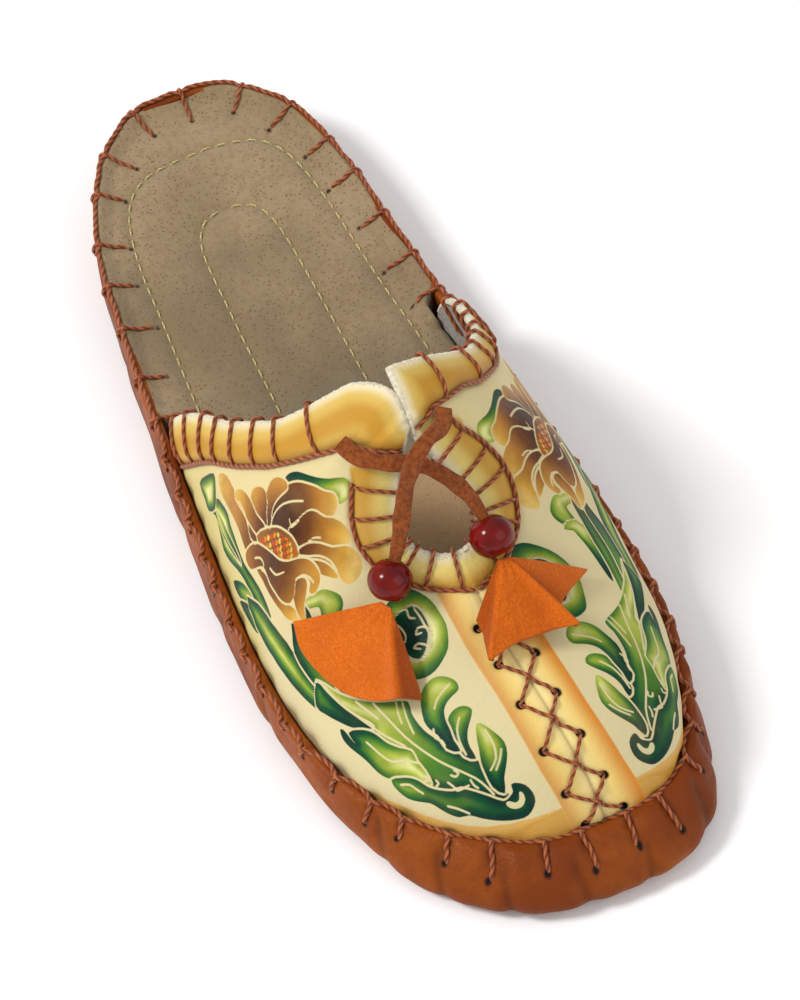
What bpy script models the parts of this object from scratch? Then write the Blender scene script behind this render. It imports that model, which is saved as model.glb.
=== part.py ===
"""A flat leather mule for the right foot: a soft sole turned up all round as a rand, a padded insole, a two-part
vamp laced along its middle, and two thongs crossed over a keyhole, each with a bead and a suede tassel at its end.

Metres, +X to the toe, +Y to the wearer's left, +Z up. The origin is on the floor under the middle of the sole.
"""

import math

import bmesh
import bpy
import numpy as np
from mathutils import Vector

MM = 0.001

# Sole and rand
SHOE_LENGTH = 261.3 * MM
BALL_WIDTH = 94.4 * MM
RAND_WALL = 2.4 * MM
RAND_HEIGHT_HEEL = 17.2 * MM
RAND_HEIGHT_TOE = 13.6 * MM
TOE_LEAN = 12.6 * MM
SOLE_THICK = 4.0 * MM
FOOT_ROUND = 5.0 * MM
LIP_ROUND = 0.8 * MM
TOE_SPRING = 1.6 * MM
BALL_ALONG = 0.68

# Insole
INSOLE_DROP_HEEL = 1.2 * MM
INSOLE_DROP_TOE = 2.6 * MM
INSOLE_DISH = 1.2 * MM
INSOLE_EDGE = 1.4 * MM
INSOLE_STEP_BACK = 0.075
INSOLE_STEP_LENGTH = 0.05

# Upper
UPPER_WALL = 2.0 * MM
THROAT_HEIGHT = 83.4 * MM
HEM_DEPTH = 5.5 * MM
HEM_SLACK = 0.6 * MM
KEYHOLE_WIDTH = 19.0 * MM
SLIT_GAP = 1.0 * MM
SEAM_FAN = 1.14

# Lacing down the middle seam
LACE_CORD = 1.4 * MM
LACE_PITCH = 10.5 * MM
LACE_REACH = 4.4 * MM
LACE_FROM_TIP = 2.2 * MM
LACE_ROWS = 7

# Thong, beads and tassels
THONG = 3.0 * MM
BEAD = 10.2 * MM
BEAD_LENGTH = 9.0 * MM
SUEDE = 1.4 * MM
TASSEL_NECK = 1.6 * MM
TASSEL_GATHER = 1.5 * MM

FIT = 0.3 * MM
RAND_FIT = 0.4 * MM

# How far the rand's foot stands outside its stitched edge on each side, as a share of TOE_LEAN
LEAN_AT_BALL = (0.08, 0.06)
LEAN_COLUMNS = ("along", "right", "left")
LEAN = (
    (-1.00, 0.24, 0.24),
    (-0.94, 0.04, 0.12),
    (-0.80, 0.00, 0.04),
    (-0.30, 0.02, 0.04),
    (-0.10, 0.10, 0.06),
    (0.58, *LEAN_AT_BALL),
    (0.76, 0.28, 0.12),
    (0.90, 0.72, 0.40),
    (0.97, 0.94, 0.78),
    (1.00, 1.00, 1.00),
)

EDGE_HALF = (SHOE_LENGTH - RAND_WALL - TOE_LEAN * (LEAN[0][1] + LEAN[-1][1])) / 2
SIDE_HALF = (BALL_WIDTH - RAND_WALL - TOE_LEAN * sum(LEAN_AT_BALL)) / 2

# The stitched top edge of the rand, seen from above: along is a share of EDGE_HALF, the rest of SIDE_HALF
OUTLINE_COLUMNS = ("along", "centre", "half_width")
OUTLINE = (
    (-0.96, 0.082, 0.365),
    (-0.866, 0.074, 0.578),
    (-0.673, 0.028, 0.736),
    (-0.481, 0.006, 0.794),
    (-0.288, -0.004, 0.844),
    (-0.096, 0.004, 0.898),
    (0.096, 0.007, 0.949),
    (0.289, 0.008, 0.990),
    (0.481, 0.012, 1.000),
    (0.674, 0.035, 0.942),
    (0.866, 0.095, 0.723),
    (0.970, 0.170, 0.430),
)
END_FULLNESS = 0.6

# The vamp's middle line: along is a share of EDGE_HALF, across of SIDE_HALF, height of THROAT_HEIGHT. peak is how
# sharply the two halves meet there and fullness is how soon the sides turn down.
RIDGE_COLUMNS = ("along", "across", "height", "peak", "fullness")
RIDGE = (
    (-0.480, -0.052, 1.120, 0.50, 1.00),
    (-0.160, -0.052, 1.105, 0.50, 1.00),
    (0.160, -0.052, 1.080, 0.50, 1.00),
    (0.352, -0.052, 1.000, 0.45, 1.00),
    (0.426, -0.040, 0.828, 0.40, 1.00),
    (0.499, -0.018, 0.680, 0.35, 0.95),
    (0.572, 0.012, 0.566, 0.25, 0.90),
    (0.684, 0.028, 0.506, 0.20, 0.85),
    (0.829, 0.080, 0.442, 0.15, 0.80),
    (0.909, 0.122, 0.372, 0.10, 0.80),
    (0.965, 0.165, 0.273, 0.05, 0.80),
)

# The collar from the middle (share 0 of the way to the side) down to the rand (share 1)
COLLAR_COLUMNS = ("sideways", "along")
COLLAR = (
    (0.00, 0.318),
    (0.08, 0.298),
    (0.17, 0.272),
    (0.29, 0.233),
    (0.38, 0.194),
    (0.46, 0.137),
    (0.56, 0.064),
    (0.63, 0.000),
    (0.74, -0.080),
    (0.87, -0.142),
    (1.00, -0.169),
)
LEFT_WING_EXTRA = 0.056
SLIT_TOP = 0.318
KEYHOLE_TOP = 0.406
KEYHOLE_FOOT = 0.548
LOBE_ROUND = 0.12

# Each thong's route from its ear over the keyhole to its tassel, in millimetres. They cross, so the one named left
# starts at the right ear.
THONG_LEFT_ROUTE = (
    (42.9, -16.9, 72.9),
    (47.1, -14.7, 71.4),
    (50.6, -9.3, 70.2),
    (53.0, -3.1, 69.2),
    (55.7, 1.7, 65.6),
    (58.8, 5.4, 61.0),
    (62.3, 7.0, 57.5),
    (67.3, 7.6, 53.7),
    (70.4, 8.1, 51.3),
)
THONG_RIGHT_ROUTE = (
    (46.4, 6.4, 75.9),
    (49.9, 4.5, 74.9),
    (52.4, 0.0, 75.4),
    (54.7, -4.3, 73.2),
    (56.5, -7.4, 67.9),
    (58.6, -9.5, 62.5),
    (61.7, -12.0, 57.6),
    (66.9, -16.8, 51.5),
    (69.1, -18.7, 48.9),
)
BEAD_SEAT = 7

# Each tassel is a pinched patch of suede: a row for each corner or fold of its edge, from one side to the other.
# along is a share of EDGE_HALF, sideways of the way from the middle to the side, and lift is in millimetres.
TASSEL_COLUMNS = ("along", "sideways", "lift")
TASSEL_RIGHT = (
    (0.472, -0.600, 2.2),
    (0.522, -0.625, 2.4),
    (0.594, -0.605, 2.8),
    (0.654, -0.560, 3.0),
    (0.704, -0.470, 3.8),
    (0.722, -0.415, 6.2),
    (0.735, -0.370, 2.4),
)
TASSEL_LEFT = (
    (0.665, -0.050, 4.2),
    (0.700, -0.055, 4.4),
    (0.748, -0.085, 4.4),
    (0.735, 0.030, 5.6),
    (0.736, 0.125, 7.4),
    (0.752, 0.200, 3.6),
    (0.690, 0.235, 4.4),
    (0.620, 0.395, 2.6),
)

# Fineness of the meshes
LOOP_POINTS = 84
LADDER = 6
SHEET_ROWS = 14
SEAM_STEPS = 13
KEYHOLE_STEPS = 7
EAR_STEPS = 5


def smooth(rows, names, want, key):
    """A curve through one column of a table, flat at turning points so that it never overshoots."""
    column = names.index(want)
    ordered = sorted(rows, key=lambda row: row[0])
    x = np.array([row[0] for row in ordered])
    y = np.array([row[column] for row in ordered])
    key = np.clip(np.asarray(key, float), x[0], x[-1])
    step = np.diff(x)
    slope = np.diff(y) / step
    tangent = np.r_[slope[0], np.zeros(len(x) - 2), slope[-1]]
    for i in range(1, len(x) - 1):
        if slope[i - 1] * slope[i] > 0:
            before = 2 * step[i] + step[i - 1]
            after = step[i] + 2 * step[i - 1]
            tangent[i] = (before + after) / (before / slope[i - 1] + after / slope[i])
    i = np.clip(np.searchsorted(x, key, side="right") - 1, 0, len(step) - 1)
    t = (key - x[i]) / step[i]
    return (
        (1 + 2 * t) * (1 - t) ** 2 * y[i]
        + t * (1 - t) ** 2 * step[i] * tangent[i]
        + t * t * (3 - 2 * t) * y[i + 1]
        + t * t * (t - 1) * step[i] * tangent[i + 1]
    )


def ease(t):
    t = np.clip(t, 0, 1)
    return t * t * (3 - 2 * t)


def oval(along):
    """How wide a plain full oval is at a share of its half length."""
    return np.sqrt(np.clip(1 - np.asarray(along, float) ** 2, 0, 1)) ** END_FULLNESS


WIDTHS = [(row[0], row[2] / float(oval(row[0]))) for row in OUTLINE]


def edge_point(turn, side):
    """The rand's stitched edge in plan. turn is 0 at the toe and pi at the heel, side is 1 left and -1 right."""
    along = np.cos(turn)
    centre = smooth(OUTLINE, OUTLINE_COLUMNS, "centre", along)
    width = smooth(WIDTHS, ("along", "width"), "width", along) * oval(along)
    return EDGE_HALF * along, SIDE_HALF * (centre + side * width)


def ground(along):
    """The underside: flat from the heel to the ball, then a slight toe spring."""
    return TOE_SPRING * np.clip((along - BALL_ALONG) / (1 - BALL_ALONG), 0, None) ** 2


def edge_height(along):
    middle = (RAND_HEIGHT_HEEL + RAND_HEIGHT_TOE) / 2
    return middle - (RAND_HEIGHT_HEEL - RAND_HEIGHT_TOE) / 2 * along


def lean(along, side):
    """How far the rand's foot stands outside its stitched edge."""
    right = smooth(LEAN, LEAN_COLUMNS, "right", along)
    left = smooth(LEAN, LEAN_COLUMNS, "left", along)
    return TOE_LEAN * np.where(np.asarray(side) > 0, left, right)


def rand_profile(along, side, height_share, offset):
    """The rand in section: how far out of the stitched edge and how high a spot of it lies. The wall leans in
    along a curve, and offset is measured square to that curve."""
    low = ground(along)
    tall = edge_height(along) - low
    slope = 2 * height_share * lean(along, side) / tall
    square = np.sqrt(1 + slope**2)
    out = lean(along, side) * (1 - height_share**2) + offset / square
    return out, low + height_share * tall + offset * slope / square


def loop_turns():
    return 2 * math.pi * np.arange(LOOP_POINTS) / LOOP_POINTS


def plan_loop():
    """Points of the stitched edge, counter-clockwise from the toe, with their outward normals."""
    turns = loop_turns()
    side = np.where(turns <= math.pi, 1.0, -1.0)
    x, y = edge_point(turns, side)
    points = np.stack([x, y], -1)
    tangent = np.roll(points, -1, 0) - np.roll(points, 1, 0)
    tangent /= np.linalg.norm(tangent, axis=1)[:, None]
    return points, np.stack([tangent[:, 1], -tangent[:, 0]], -1), np.cos(turns), side


def wall_ring(offset, height_share, rise=0.0):
    """A ring of the rand at a share of its height, offset outward from the middle of its wall."""
    points, normal, along, side = plan_loop()
    share = np.clip(height_share + rise / (edge_height(along) - ground(along)), 0, 1)
    out, height = rand_profile(along, side, share, offset)
    return np.column_stack([points + normal * out[:, None], height])


def inset_ring(ring, inward):
    _, normal, _, _ = plan_loop()
    moved = ring.copy()
    moved[:, :2] -= normal * inward
    return moved


def new_material(name, colour, roughness):
    material = bpy.data.materials.new(name)
    material.use_nodes = True
    shader = material.node_tree.nodes["Principled BSDF"]
    shader.inputs["Base Color"].default_value = (*colour, 1)
    shader.inputs["Roughness"].default_value = roughness
    shader.inputs["Metallic"].default_value = 0.0
    return material


def new_object(name, mesh, material, home):
    item = bpy.data.objects.new(name, mesh)
    mesh.materials.append(material)
    home.objects.link(item)
    return item


def mesh_from(name, points, faces, tidy=True):
    mesh = bpy.data.meshes.new(name)
    mesh.from_pydata([tuple(map(float, p)) for p in points], [], faces)
    if tidy:
        work = bmesh.new()
        work.from_mesh(mesh)
        bmesh.ops.recalc_face_normals(work, faces=work.faces)
        work.to_mesh(mesh)
        work.free()
    mesh.shade_smooth()
    return mesh


def ladder(first, height, points, faces):
    """Rungs across a ring, from its left points to its right ones. height(share, along) lifts each rung."""
    half = LOOP_POINTS // 2
    rows = []
    for i in range(half + 1):
        left = first + i
        right = first + (LOOP_POINTS - i) % LOOP_POINTS
        if left == right:
            rows.append([left] * (LADDER + 1))
            continue
        row = [left]
        start, end = np.array(points[left]), np.array(points[right])
        for j in range(1, LADDER):
            share = j / LADDER
            spot = start + (end - start) * share
            spot[2] += height(share)
            points.append(spot)
            row.append(len(points) - 1)
        rows.append([*row, right])
    for a, b in zip(rows, rows[1:]):
        for j in range(LADDER):
            corners = [a[j], a[j + 1], b[j + 1], b[j]]
            corners = [c for k, c in enumerate(corners) if c not in corners[:k]]
            if len(corners) > 2:
                faces.append(corners)


def stack_rings(rings, points, faces):
    for ring in rings:
        points.extend(ring)
    for level in range(len(rings) - 1):
        low = level * LOOP_POINTS
        for i in range(LOOP_POINTS):
            j = (i + 1) % LOOP_POINTS
            faces.append([low + i, low + j, low + LOOP_POINTS + j, low + LOOP_POINTS + i])


def make_sole(home):
    """Outsole and rand in one: a tray with a round foot and a wall that leans in over heel and toe."""
    half = RAND_WALL / 2
    rings = []
    for k in range(4):
        angle = k * math.pi / 6
        ring = wall_ring(half, 0, FOOT_ROUND * (1 - math.cos(angle)))
        rings.append(inset_ring(ring, FOOT_ROUND * (1 - math.sin(angle))))
    rings.append(wall_ring(half, 0.68))
    rings.append(wall_ring(half, 1, -LIP_ROUND))
    rings.append(wall_ring(half - LIP_ROUND, 1))
    rings.append(wall_ring(LIP_ROUND - half, 1))
    rings.append(wall_ring(-half, 1, -LIP_ROUND))
    rings.append(wall_ring(-half, 0.62))
    rings.append(wall_ring(-half, 0, SOLE_THICK))
    points, faces = [], []
    stack_rings(rings, points, faces)
    ladder(0, lambda share: 0.0, points, faces)
    ladder((len(rings) - 1) * LOOP_POINTS, lambda share: 0.0, points, faces)
    leather = new_material("sole_leather", (0.30, 0.085, 0.022), 0.5)
    return new_object("sole", mesh_from("sole", points, faces), leather, home)


def wing_end(side):
    """The share of the length at which a wing of the vamp meets the rand."""
    return COLLAR[-1][1] - (LEFT_WING_EXTRA if side > 0 else 0.0)


def insole_ring(inset, drop):
    points, normal, along, side = plan_loop()
    wing = np.where(side > 0, wing_end(1), wing_end(-1))
    under_vamp = ease((along - wing + INSOLE_STEP_BACK) / INSOLE_STEP_LENGTH)
    inward = RAND_WALL / 2 + RAND_FIT + (UPPER_WALL + HEM_SLACK + RAND_FIT) * under_vamp + inset
    top = edge_height(along) - INSOLE_DROP_HEEL
    top += (INSOLE_DROP_HEEL - INSOLE_DROP_TOE) * (1 + along) / 2
    plan = points - normal * inward[:, None]
    floor = ground(along) + SOLE_THICK + FIT
    height = floor if drop is None else top - drop
    return np.column_stack([plan, height])


def make_insole(home):
    """A padded insole that fills the tray, lowest along the middle."""
    rings = [
        insole_ring(INSOLE_EDGE / 2, None),
        insole_ring(0, None) + np.array([0, 0, INSOLE_EDGE / 2]),
        insole_ring(0, INSOLE_EDGE),
        insole_ring(INSOLE_EDGE * 0.3, INSOLE_EDGE * 0.3),
        insole_ring(INSOLE_EDGE, 0),
    ]
    points, faces = [], []
    stack_rings(rings, points, faces)
    ladder(0, lambda share: 0.0, points, faces)
    dish = lambda share: -INSOLE_DISH * math.sin(math.pi * share)
    ladder((len(rings) - 1) * LOOP_POINTS, dish, points, faces)
    suede = new_material("insole_suede", (0.45, 0.32, 0.22), 0.9)
    return new_object("insole", mesh_from("insole", points, faces), suede, home)


TIP_HEIGHT = float(rand_profile(1.0, 1, 1.0, -RAND_WALL / 2 - RAND_FIT)[1])
TIP_RIDGE = (1.0, OUTLINE[-1][1] + 0.03, TIP_HEIGHT / THROAT_HEIGHT, 0.0, RIDGE[-1][4])
VAMP_ROWS = [(-math.acos(row[0]), *row[1:]) for row in (*RIDGE, TIP_RIDGE)]


def vamp(turn, sideways, lift=0.0):
    """A point of the vamp's outer face. turn is 0 at the toe, sideways runs from -1 right over the ridge to 1."""
    turn, sideways = np.broadcast_arrays(np.asarray(turn, float), np.asarray(sideways, float))
    side = np.where(sideways < 0, -1.0, 1.0)
    share = np.abs(sideways)
    reach = np.sin(share * math.pi / 2)
    out, foot = rand_profile(np.cos(turn), side, 1.0, -RAND_WALL / 2 - RAND_FIT)
    other, _ = rand_profile(np.cos(turn), -side, 1.0, -RAND_WALL / 2 - RAND_FIT)
    x, y_edge = edge_point(turn, side)
    x = x + (out + (other - out) * (1 - reach) / 2) * np.cos(turn)
    y_edge = y_edge + side * out * np.sin(turn)
    across, height, peak, fullness = (
        smooth(VAMP_ROWS, RIDGE_COLUMNS, name, -turn) for name in RIDGE_COLUMNS[1:]
    )
    crown = np.clip(np.cos(share * math.pi / 2), 0, 1) ** fullness
    y = across * SIDE_HALF + (y_edge - across * SIDE_HALF) * reach
    z = foot + (height * THROAT_HEIGHT - foot) * ((1 - peak) * crown + peak * (1 - reach))
    spot = np.stack([x, y, z], -1)
    if np.any(lift):
        spot = spot + vamp_normal(turn, sideways) * np.asarray(lift)[..., None]
    return spot


def vamp_normal(turn, sideways):
    step = 0.01
    ahead = vamp(turn + step, sideways) - vamp(turn - step, sideways)
    aside = vamp(turn, np.clip(sideways + step, -1, 1)) - vamp(turn, np.clip(sideways - step, -1, 1))
    normal = np.cross(ahead, aside)
    return -normal / np.linalg.norm(normal, axis=-1)[..., None]


def inner_line(side):
    """Where a half of the vamp ends at the middle: its ear, the slit, the keyhole and the laced seam."""
    line = []
    gap = SLIT_GAP / 2 / SIDE_HALF
    for i in range(EAR_STEPS):
        share = i / EAR_STEPS
        lobe = LOBE_ROUND * (1 - share) ** 2 if side < 0 else 0.0
        line.append((SLIT_TOP + (KEYHOLE_TOP - SLIT_TOP) * share, gap + lobe))
    for i in range(KEYHOLE_STEPS):
        share = (1 - math.cos(math.pi * i / KEYHOLE_STEPS)) / 2
        wide = KEYHOLE_WIDTH / 2 * math.sin(math.pi * share**1.3) ** 0.6
        along = KEYHOLE_TOP + (KEYHOLE_FOOT - KEYHOLE_TOP) * share
        span = SIDE_HALF * (1.0 + 0.05 * side)
        line.append((along, max(gap, math.asin(wide / span) * 2 / math.pi)))
    line = [(math.acos(along), sideways) for along, sideways in line]
    last = math.acos(KEYHOLE_FOOT)
    line += [(last * (1 - i / SEAM_STEPS), 0.0) for i in range(SEAM_STEPS + 1)]
    return line


def half_vamp(side):
    """The outer face of one half, as a grid: columns along the inner line, rows from the hem up to it."""
    line = inner_line(side)
    seam_start = len(line) - SEAM_STEPS - 1
    wing = math.acos(wing_end(side))
    seam_foot = math.acos(KEYHOLE_FOOT) * SEAM_FAN
    columns = []
    for i, (turn, sideways) in enumerate(line):
        if i <= seam_start:
            edge_turn = wing + (seam_foot - wing) * i / seam_start
        else:
            edge_turn = seam_foot * turn / line[seam_start][0]
        fade = max(0.0, 1 - i / seam_start) ** 1.5
        rows = []
        for j in range(SHEET_ROWS + 1):
            b = j / SHEET_ROWS
            spot_turn = (1 - b) * edge_turn + b * turn
            spot_side = (1 - b) + b * sideways
            if fade > 0:
                first_turn, first_side = line[0]
                at_collar = (1 - b) + b * first_side
                straight = (1 - b) * wing + b * first_turn
                extra = LEFT_WING_EXTRA * ease((at_collar - 0.6) / 0.4) if side > 0 else 0.0
                along = smooth(COLLAR, COLLAR_COLUMNS, "along", at_collar) - extra
                spot_turn += (math.acos(along) - straight) * fade
            rows.append(vamp(spot_turn, side * spot_side))
        columns.append([*hem(edge_turn, side), *rows])
    return columns, seam_start


def hem(turn, side):
    """The margin of the vamp inside the rand, from its lowest row up to just under the stitched edge."""
    step = 0.002
    x1, y1 = edge_point(turn + step, side)
    x0, y0 = edge_point(turn, side)
    tangent = np.array([x1 - x0, y1 - y0]) / math.hypot(x1 - x0, y1 - y0)
    outward = side * np.array([tangent[1], -tangent[0]]) if turn > 0 else np.array([1.0, 0.0])
    x, y = edge_point(turn, side)
    along = math.cos(turn)
    rows = []
    for depth in (HEM_DEPTH, HEM_DEPTH / 2):
        share = 1 - depth / (edge_height(along) - ground(along))
        slack = HEM_SLACK * depth / HEM_DEPTH
        out, height = rand_profile(along, side, share, -RAND_WALL / 2 - RAND_FIT - slack)
        rows.append(np.array([x + outward[0] * out, y + outward[1] * out, height]))
    return rows


def make_upper(home):
    """Both halves of the vamp as one open sheet, joined along the seam and thickened inward."""
    points, faces = [], []
    right, seam_start = half_vamp(-1)
    left, _ = half_vamp(1)
    places = {}
    height = len(right[0])
    for tag, columns in (("right", right), ("left", left)):
        for i, column in enumerate(columns):
            for j, spot in enumerate(column):
                tip = i == len(columns) - 1
                shared = ("seam", i) if j == height - 1 and i >= seam_start else None
                shared = ("tip", min(j, 2)) if tip else shared
                key = shared or (tag, i, j)
                if key not in places:
                    places[key] = len(points)
                    points.append(spot)
                places[(tag, i, j)] = places[key]
    for tag in ("right", "left"):
        for i in range(len(right) - 1):
            for j in range(height - 1):
                corners = [(i, j), (i + 1, j), (i + 1, j + 1), (i, j + 1)]
                corners = [places[(tag, *c)] for c in (corners if tag == "right" else corners[::-1])]
                corners = [c for k, c in enumerate(corners) if c not in corners[:k]]
                if len(corners) > 2:
                    faces.append(corners)
    leather = new_material("painted_leather", (0.80, 0.68, 0.40), 0.4)
    item = new_object("upper", mesh_from("upper", points, faces, tidy=False), leather, home)
    wall = item.modifiers.new("wall", "SOLIDIFY")
    wall.thickness = UPPER_WALL
    wall.offset = -1
    return item


def smooth_route(route, spacing):
    """Evenly spaced points on a smooth curve through a short list of points."""
    knots = [Vector(p) for p in route]
    knots = [knots[0] * 2 - knots[1], *knots, knots[-1] * 2 - knots[-2]]
    fine = []
    for a, b, c, d in zip(knots, knots[1:], knots[2:], knots[3:]):
        for k in range(16):
            t = k / 16
            fine.append(
                0.5 * (2 * b + (c - a) * t + (2 * a - 5 * b + 4 * c - d) * t**2 + (3 * b - a - 3 * c + d) * t**3)
            )
    fine.append(knots[-2])
    length = [0.0]
    for a, b in zip(fine, fine[1:]):
        length.append(length[-1] + (b - a).length)
    count = max(2, round(length[-1] / spacing))
    want = [length[-1] * i / count for i in range(count + 1)]
    columns = [np.interp(want, length, [p[axis] for p in fine]) for axis in range(3)]
    return [Vector(p) for p in zip(*columns)]


def tube_mesh(name, points, diameter):
    """A round tube along the points, with its caps welded on."""
    curve = bpy.data.curves.new(name, "CURVE")
    curve.dimensions = "3D"
    curve.bevel_depth = diameter / 2
    curve.bevel_resolution = 2
    curve.use_fill_caps = True
    spline = curve.splines.new("POLY")
    spline.points.add(len(points) - 1)
    for spot, point in zip(points, spline.points):
        point.co = (*spot, 1)
    guide = bpy.data.objects.new(name + "_guide", curve)
    bpy.context.scene.collection.objects.link(guide)
    mesh = bpy.data.meshes.new_from_object(guide.evaluated_get(bpy.context.evaluated_depsgraph_get()))
    bpy.data.objects.remove(guide)
    bpy.data.curves.remove(curve)
    mesh.name = name
    mesh.materials.clear()
    work = bmesh.new()
    work.from_mesh(mesh)
    bmesh.ops.remove_doubles(work, verts=work.verts, dist=0.01 * MM)
    bmesh.ops.recalc_face_normals(work, faces=work.faces)
    work.to_mesh(mesh)
    work.free()
    mesh.shade_smooth()
    return mesh


def seam_rows():
    """The turns at which a pair of lace holes lies, counted up the seam from the toe."""
    turns = np.linspace(0, math.acos(KEYHOLE_FOOT), 400)
    line = vamp(turns, 0.0)
    length = np.r_[0, np.cumsum(np.linalg.norm(np.diff(line, axis=0), axis=1))]
    want = [LACE_FROM_TIP + LACE_PITCH * i for i in range(LACE_ROWS)]
    return np.interp(want, length, turns)


def sideways_for(turn, reach):
    """The share of the way to the side that lies so far from the ridge."""
    shares = np.linspace(0, 0.5, 100)
    side = 1.0 if reach > 0 else -1.0
    line = vamp(turn, side * np.maximum(shares, 1e-6))
    length = np.r_[0, np.cumsum(np.linalg.norm(np.diff(line, axis=0), axis=1))]
    return side * float(np.interp(abs(reach), length, shares))


def make_seam_lacing(home, cutters):
    """Two cords that zigzag down the seam and cross between the holes, as one body just clear of the leather."""
    turns = seam_rows()
    cord = new_material("brown_cord", (0.16, 0.045, 0.015), 0.6)
    strands = []
    for start in (1, -1):
        route = []
        for i in range(LACE_ROWS - 1):
            side = start * (-1) ** i
            for share in (0.08, 0.29, 0.5, 0.71, 0.92):
                turn = turns[i] + (turns[i + 1] - turns[i]) * share
                reach = side * LACE_REACH * (1 - 2 * share)
                lift = LACE_CORD / 2 + 2 * FIT
                route.append(vamp(turn, sideways_for(turn, reach), lift))
        strands.append(tube_mesh("seam_lacing", route, LACE_CORD))
    item = new_object("seam_lacing", strands[0], cord, home)
    other = new_object("second_strand", strands[1], cord, cutters)
    other.hide_render = True
    other.display_type = "WIRE"
    join = item.modifiers.new("crossings", "BOOLEAN")
    join.operation = "UNION"
    join.solver = "EXACT"
    join.object = other
    return item


def make_thong(name, route, home):
    points = smooth_route([tuple(v * MM for v in p) for p in route], 2.0 * THONG)
    leather = bpy.data.materials.get("thong_suede") or new_material("thong_suede", (0.20, 0.065, 0.022), 0.8)
    return new_object(name, tube_mesh(name, points, THONG), leather, home)


def make_bead(name, route, home):
    """A turned bead with a bore, seated on the thong."""
    centre = Vector(route[BEAD_SEAT]) * MM
    along = (Vector(route[BEAD_SEAT + 1]) - Vector(route[BEAD_SEAT - 1])).normalized()
    bore = THONG / 2 + 1.5 * FIT
    belly = BEAD / 2
    top = BEAD_LENGTH / 2
    profile = [(bore, top)]
    for k in range(9):
        angle = math.pi * (0.5 - (k + 0.5) / 9)
        profile.append((max(bore + 0.5 * MM, belly * math.cos(angle)), top * math.sin(angle)))
    profile.append((bore, -top))
    sides = 20
    points, faces = [], []
    for i in range(sides):
        angle = 2 * math.pi * i / sides
        points.extend((r * math.cos(angle), r * math.sin(angle), z) for r, z in profile)
    count = len(profile)
    for i in range(sides):
        j = (i + 1) % sides
        for k in range(count):
            m = (k + 1) % count
            faces.append([i * count + k, j * count + k, j * count + m, i * count + m])
    wood = bpy.data.materials.get("red_wood") or new_material("red_wood", (0.22, 0.01, 0.008), 0.2)
    item = new_object(name, mesh_from(name, points, faces), wood, home)
    item.location = centre
    item.rotation_mode = "QUATERNION"
    item.rotation_quaternion = along.to_track_quat("Z", "Y")
    return item


def make_tassel(name, route, rows, home):
    """A patch of suede pinched at the thong's end, fanned out over the vamp in a few folds."""
    end = Vector(route[-1]) * MM
    out = (Vector(route[-1]) - Vector(route[-2])).normalized()
    neck = np.array(end + out * TASSEL_NECK)
    names = TASSEL_COLUMNS
    keys = [(i, *row) for i, row in enumerate(rows)]
    places = np.linspace(0, len(rows) - 1, 3 * (len(rows) - 1) + 1)
    along, sideways, lift = (smooth(keys, ("row", *names), name, places) for name in names)
    rim = vamp(np.arccos(along), sideways, lift * MM)
    middle = rim.mean(0)
    aside = np.cross(middle - neck, vamp_normal(np.arccos(along.mean()), sideways.mean()))
    aside /= np.linalg.norm(aside)
    spread = np.linspace(-1, 1, len(places))
    if np.dot(rim[-1] - rim[0], aside) < 0:
        aside = -aside
    steps = 6
    points, faces = [], []
    for k in range(steps + 1):
        share = k / steps
        for i in range(len(places)):
            root = neck + aside * spread[i] * TASSEL_GATHER
            points.append(root + (rim[i] - root) * share)
    count = len(places)
    for k in range(steps):
        for i in range(count - 1):
            a = k * count + i
            faces.append([a, a + 1, a + count + 1, a + count])
    suede = bpy.data.materials.get("orange_suede") or new_material("orange_suede", (0.62, 0.18, 0.02), 0.9)
    item = new_object(name, mesh_from(name, points, faces), suede, home)
    body = item.modifiers.new("suede", "SOLIDIFY")
    body.thickness = SUEDE
    body.offset = 0
    return item


def main():
    for item in list(bpy.data.objects):
        bpy.data.objects.remove(item)
    home = bpy.data.collections.new("leather_mule")
    cutters = bpy.data.collections.new("cutters")
    for collection in (home, cutters):
        bpy.context.scene.collection.children.link(collection)
    make_sole(home)
    make_insole(home)
    make_upper(home)
    make_seam_lacing(home, cutters)
    for side, route, rows in (
        ("right", THONG_RIGHT_ROUTE, TASSEL_RIGHT),
        ("left", THONG_LEFT_ROUTE, TASSEL_LEFT),
    ):
        make_thong("thong_" + side, route, home)
        make_bead("bead_" + side, route, home)
        make_tassel("tassel_" + side, route, rows, home)


main()
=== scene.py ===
# %% [markdown]
# # A hand-sewn babouche slipper
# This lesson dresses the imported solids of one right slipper: a brown leather rand and sole in one, a suede insole,
# a painted vamp in two halves laced up the middle, and two suede thongs that end in a bead and a tassel. Every
# piece is made from the shoe's own measurements, so that it lies where its solid lies.

# %% The frame
import math

import bpy
import bmesh
import numpy as np
from mathutils import Matrix, Vector
from mathutils.bvhtree import BVHTree


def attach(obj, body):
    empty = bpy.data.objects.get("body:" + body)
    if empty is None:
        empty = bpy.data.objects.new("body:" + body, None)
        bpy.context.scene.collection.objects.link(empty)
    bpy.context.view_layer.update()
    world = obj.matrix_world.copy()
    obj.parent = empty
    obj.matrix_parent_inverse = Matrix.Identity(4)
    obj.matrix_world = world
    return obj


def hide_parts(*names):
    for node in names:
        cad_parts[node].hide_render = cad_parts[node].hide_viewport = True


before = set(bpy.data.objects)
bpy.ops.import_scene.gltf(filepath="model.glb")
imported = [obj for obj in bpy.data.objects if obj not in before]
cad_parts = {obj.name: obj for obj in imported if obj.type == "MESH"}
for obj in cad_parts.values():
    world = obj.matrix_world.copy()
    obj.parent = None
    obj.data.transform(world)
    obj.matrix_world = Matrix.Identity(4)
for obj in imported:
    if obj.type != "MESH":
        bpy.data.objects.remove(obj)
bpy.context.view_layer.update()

MM = 0.001

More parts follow.
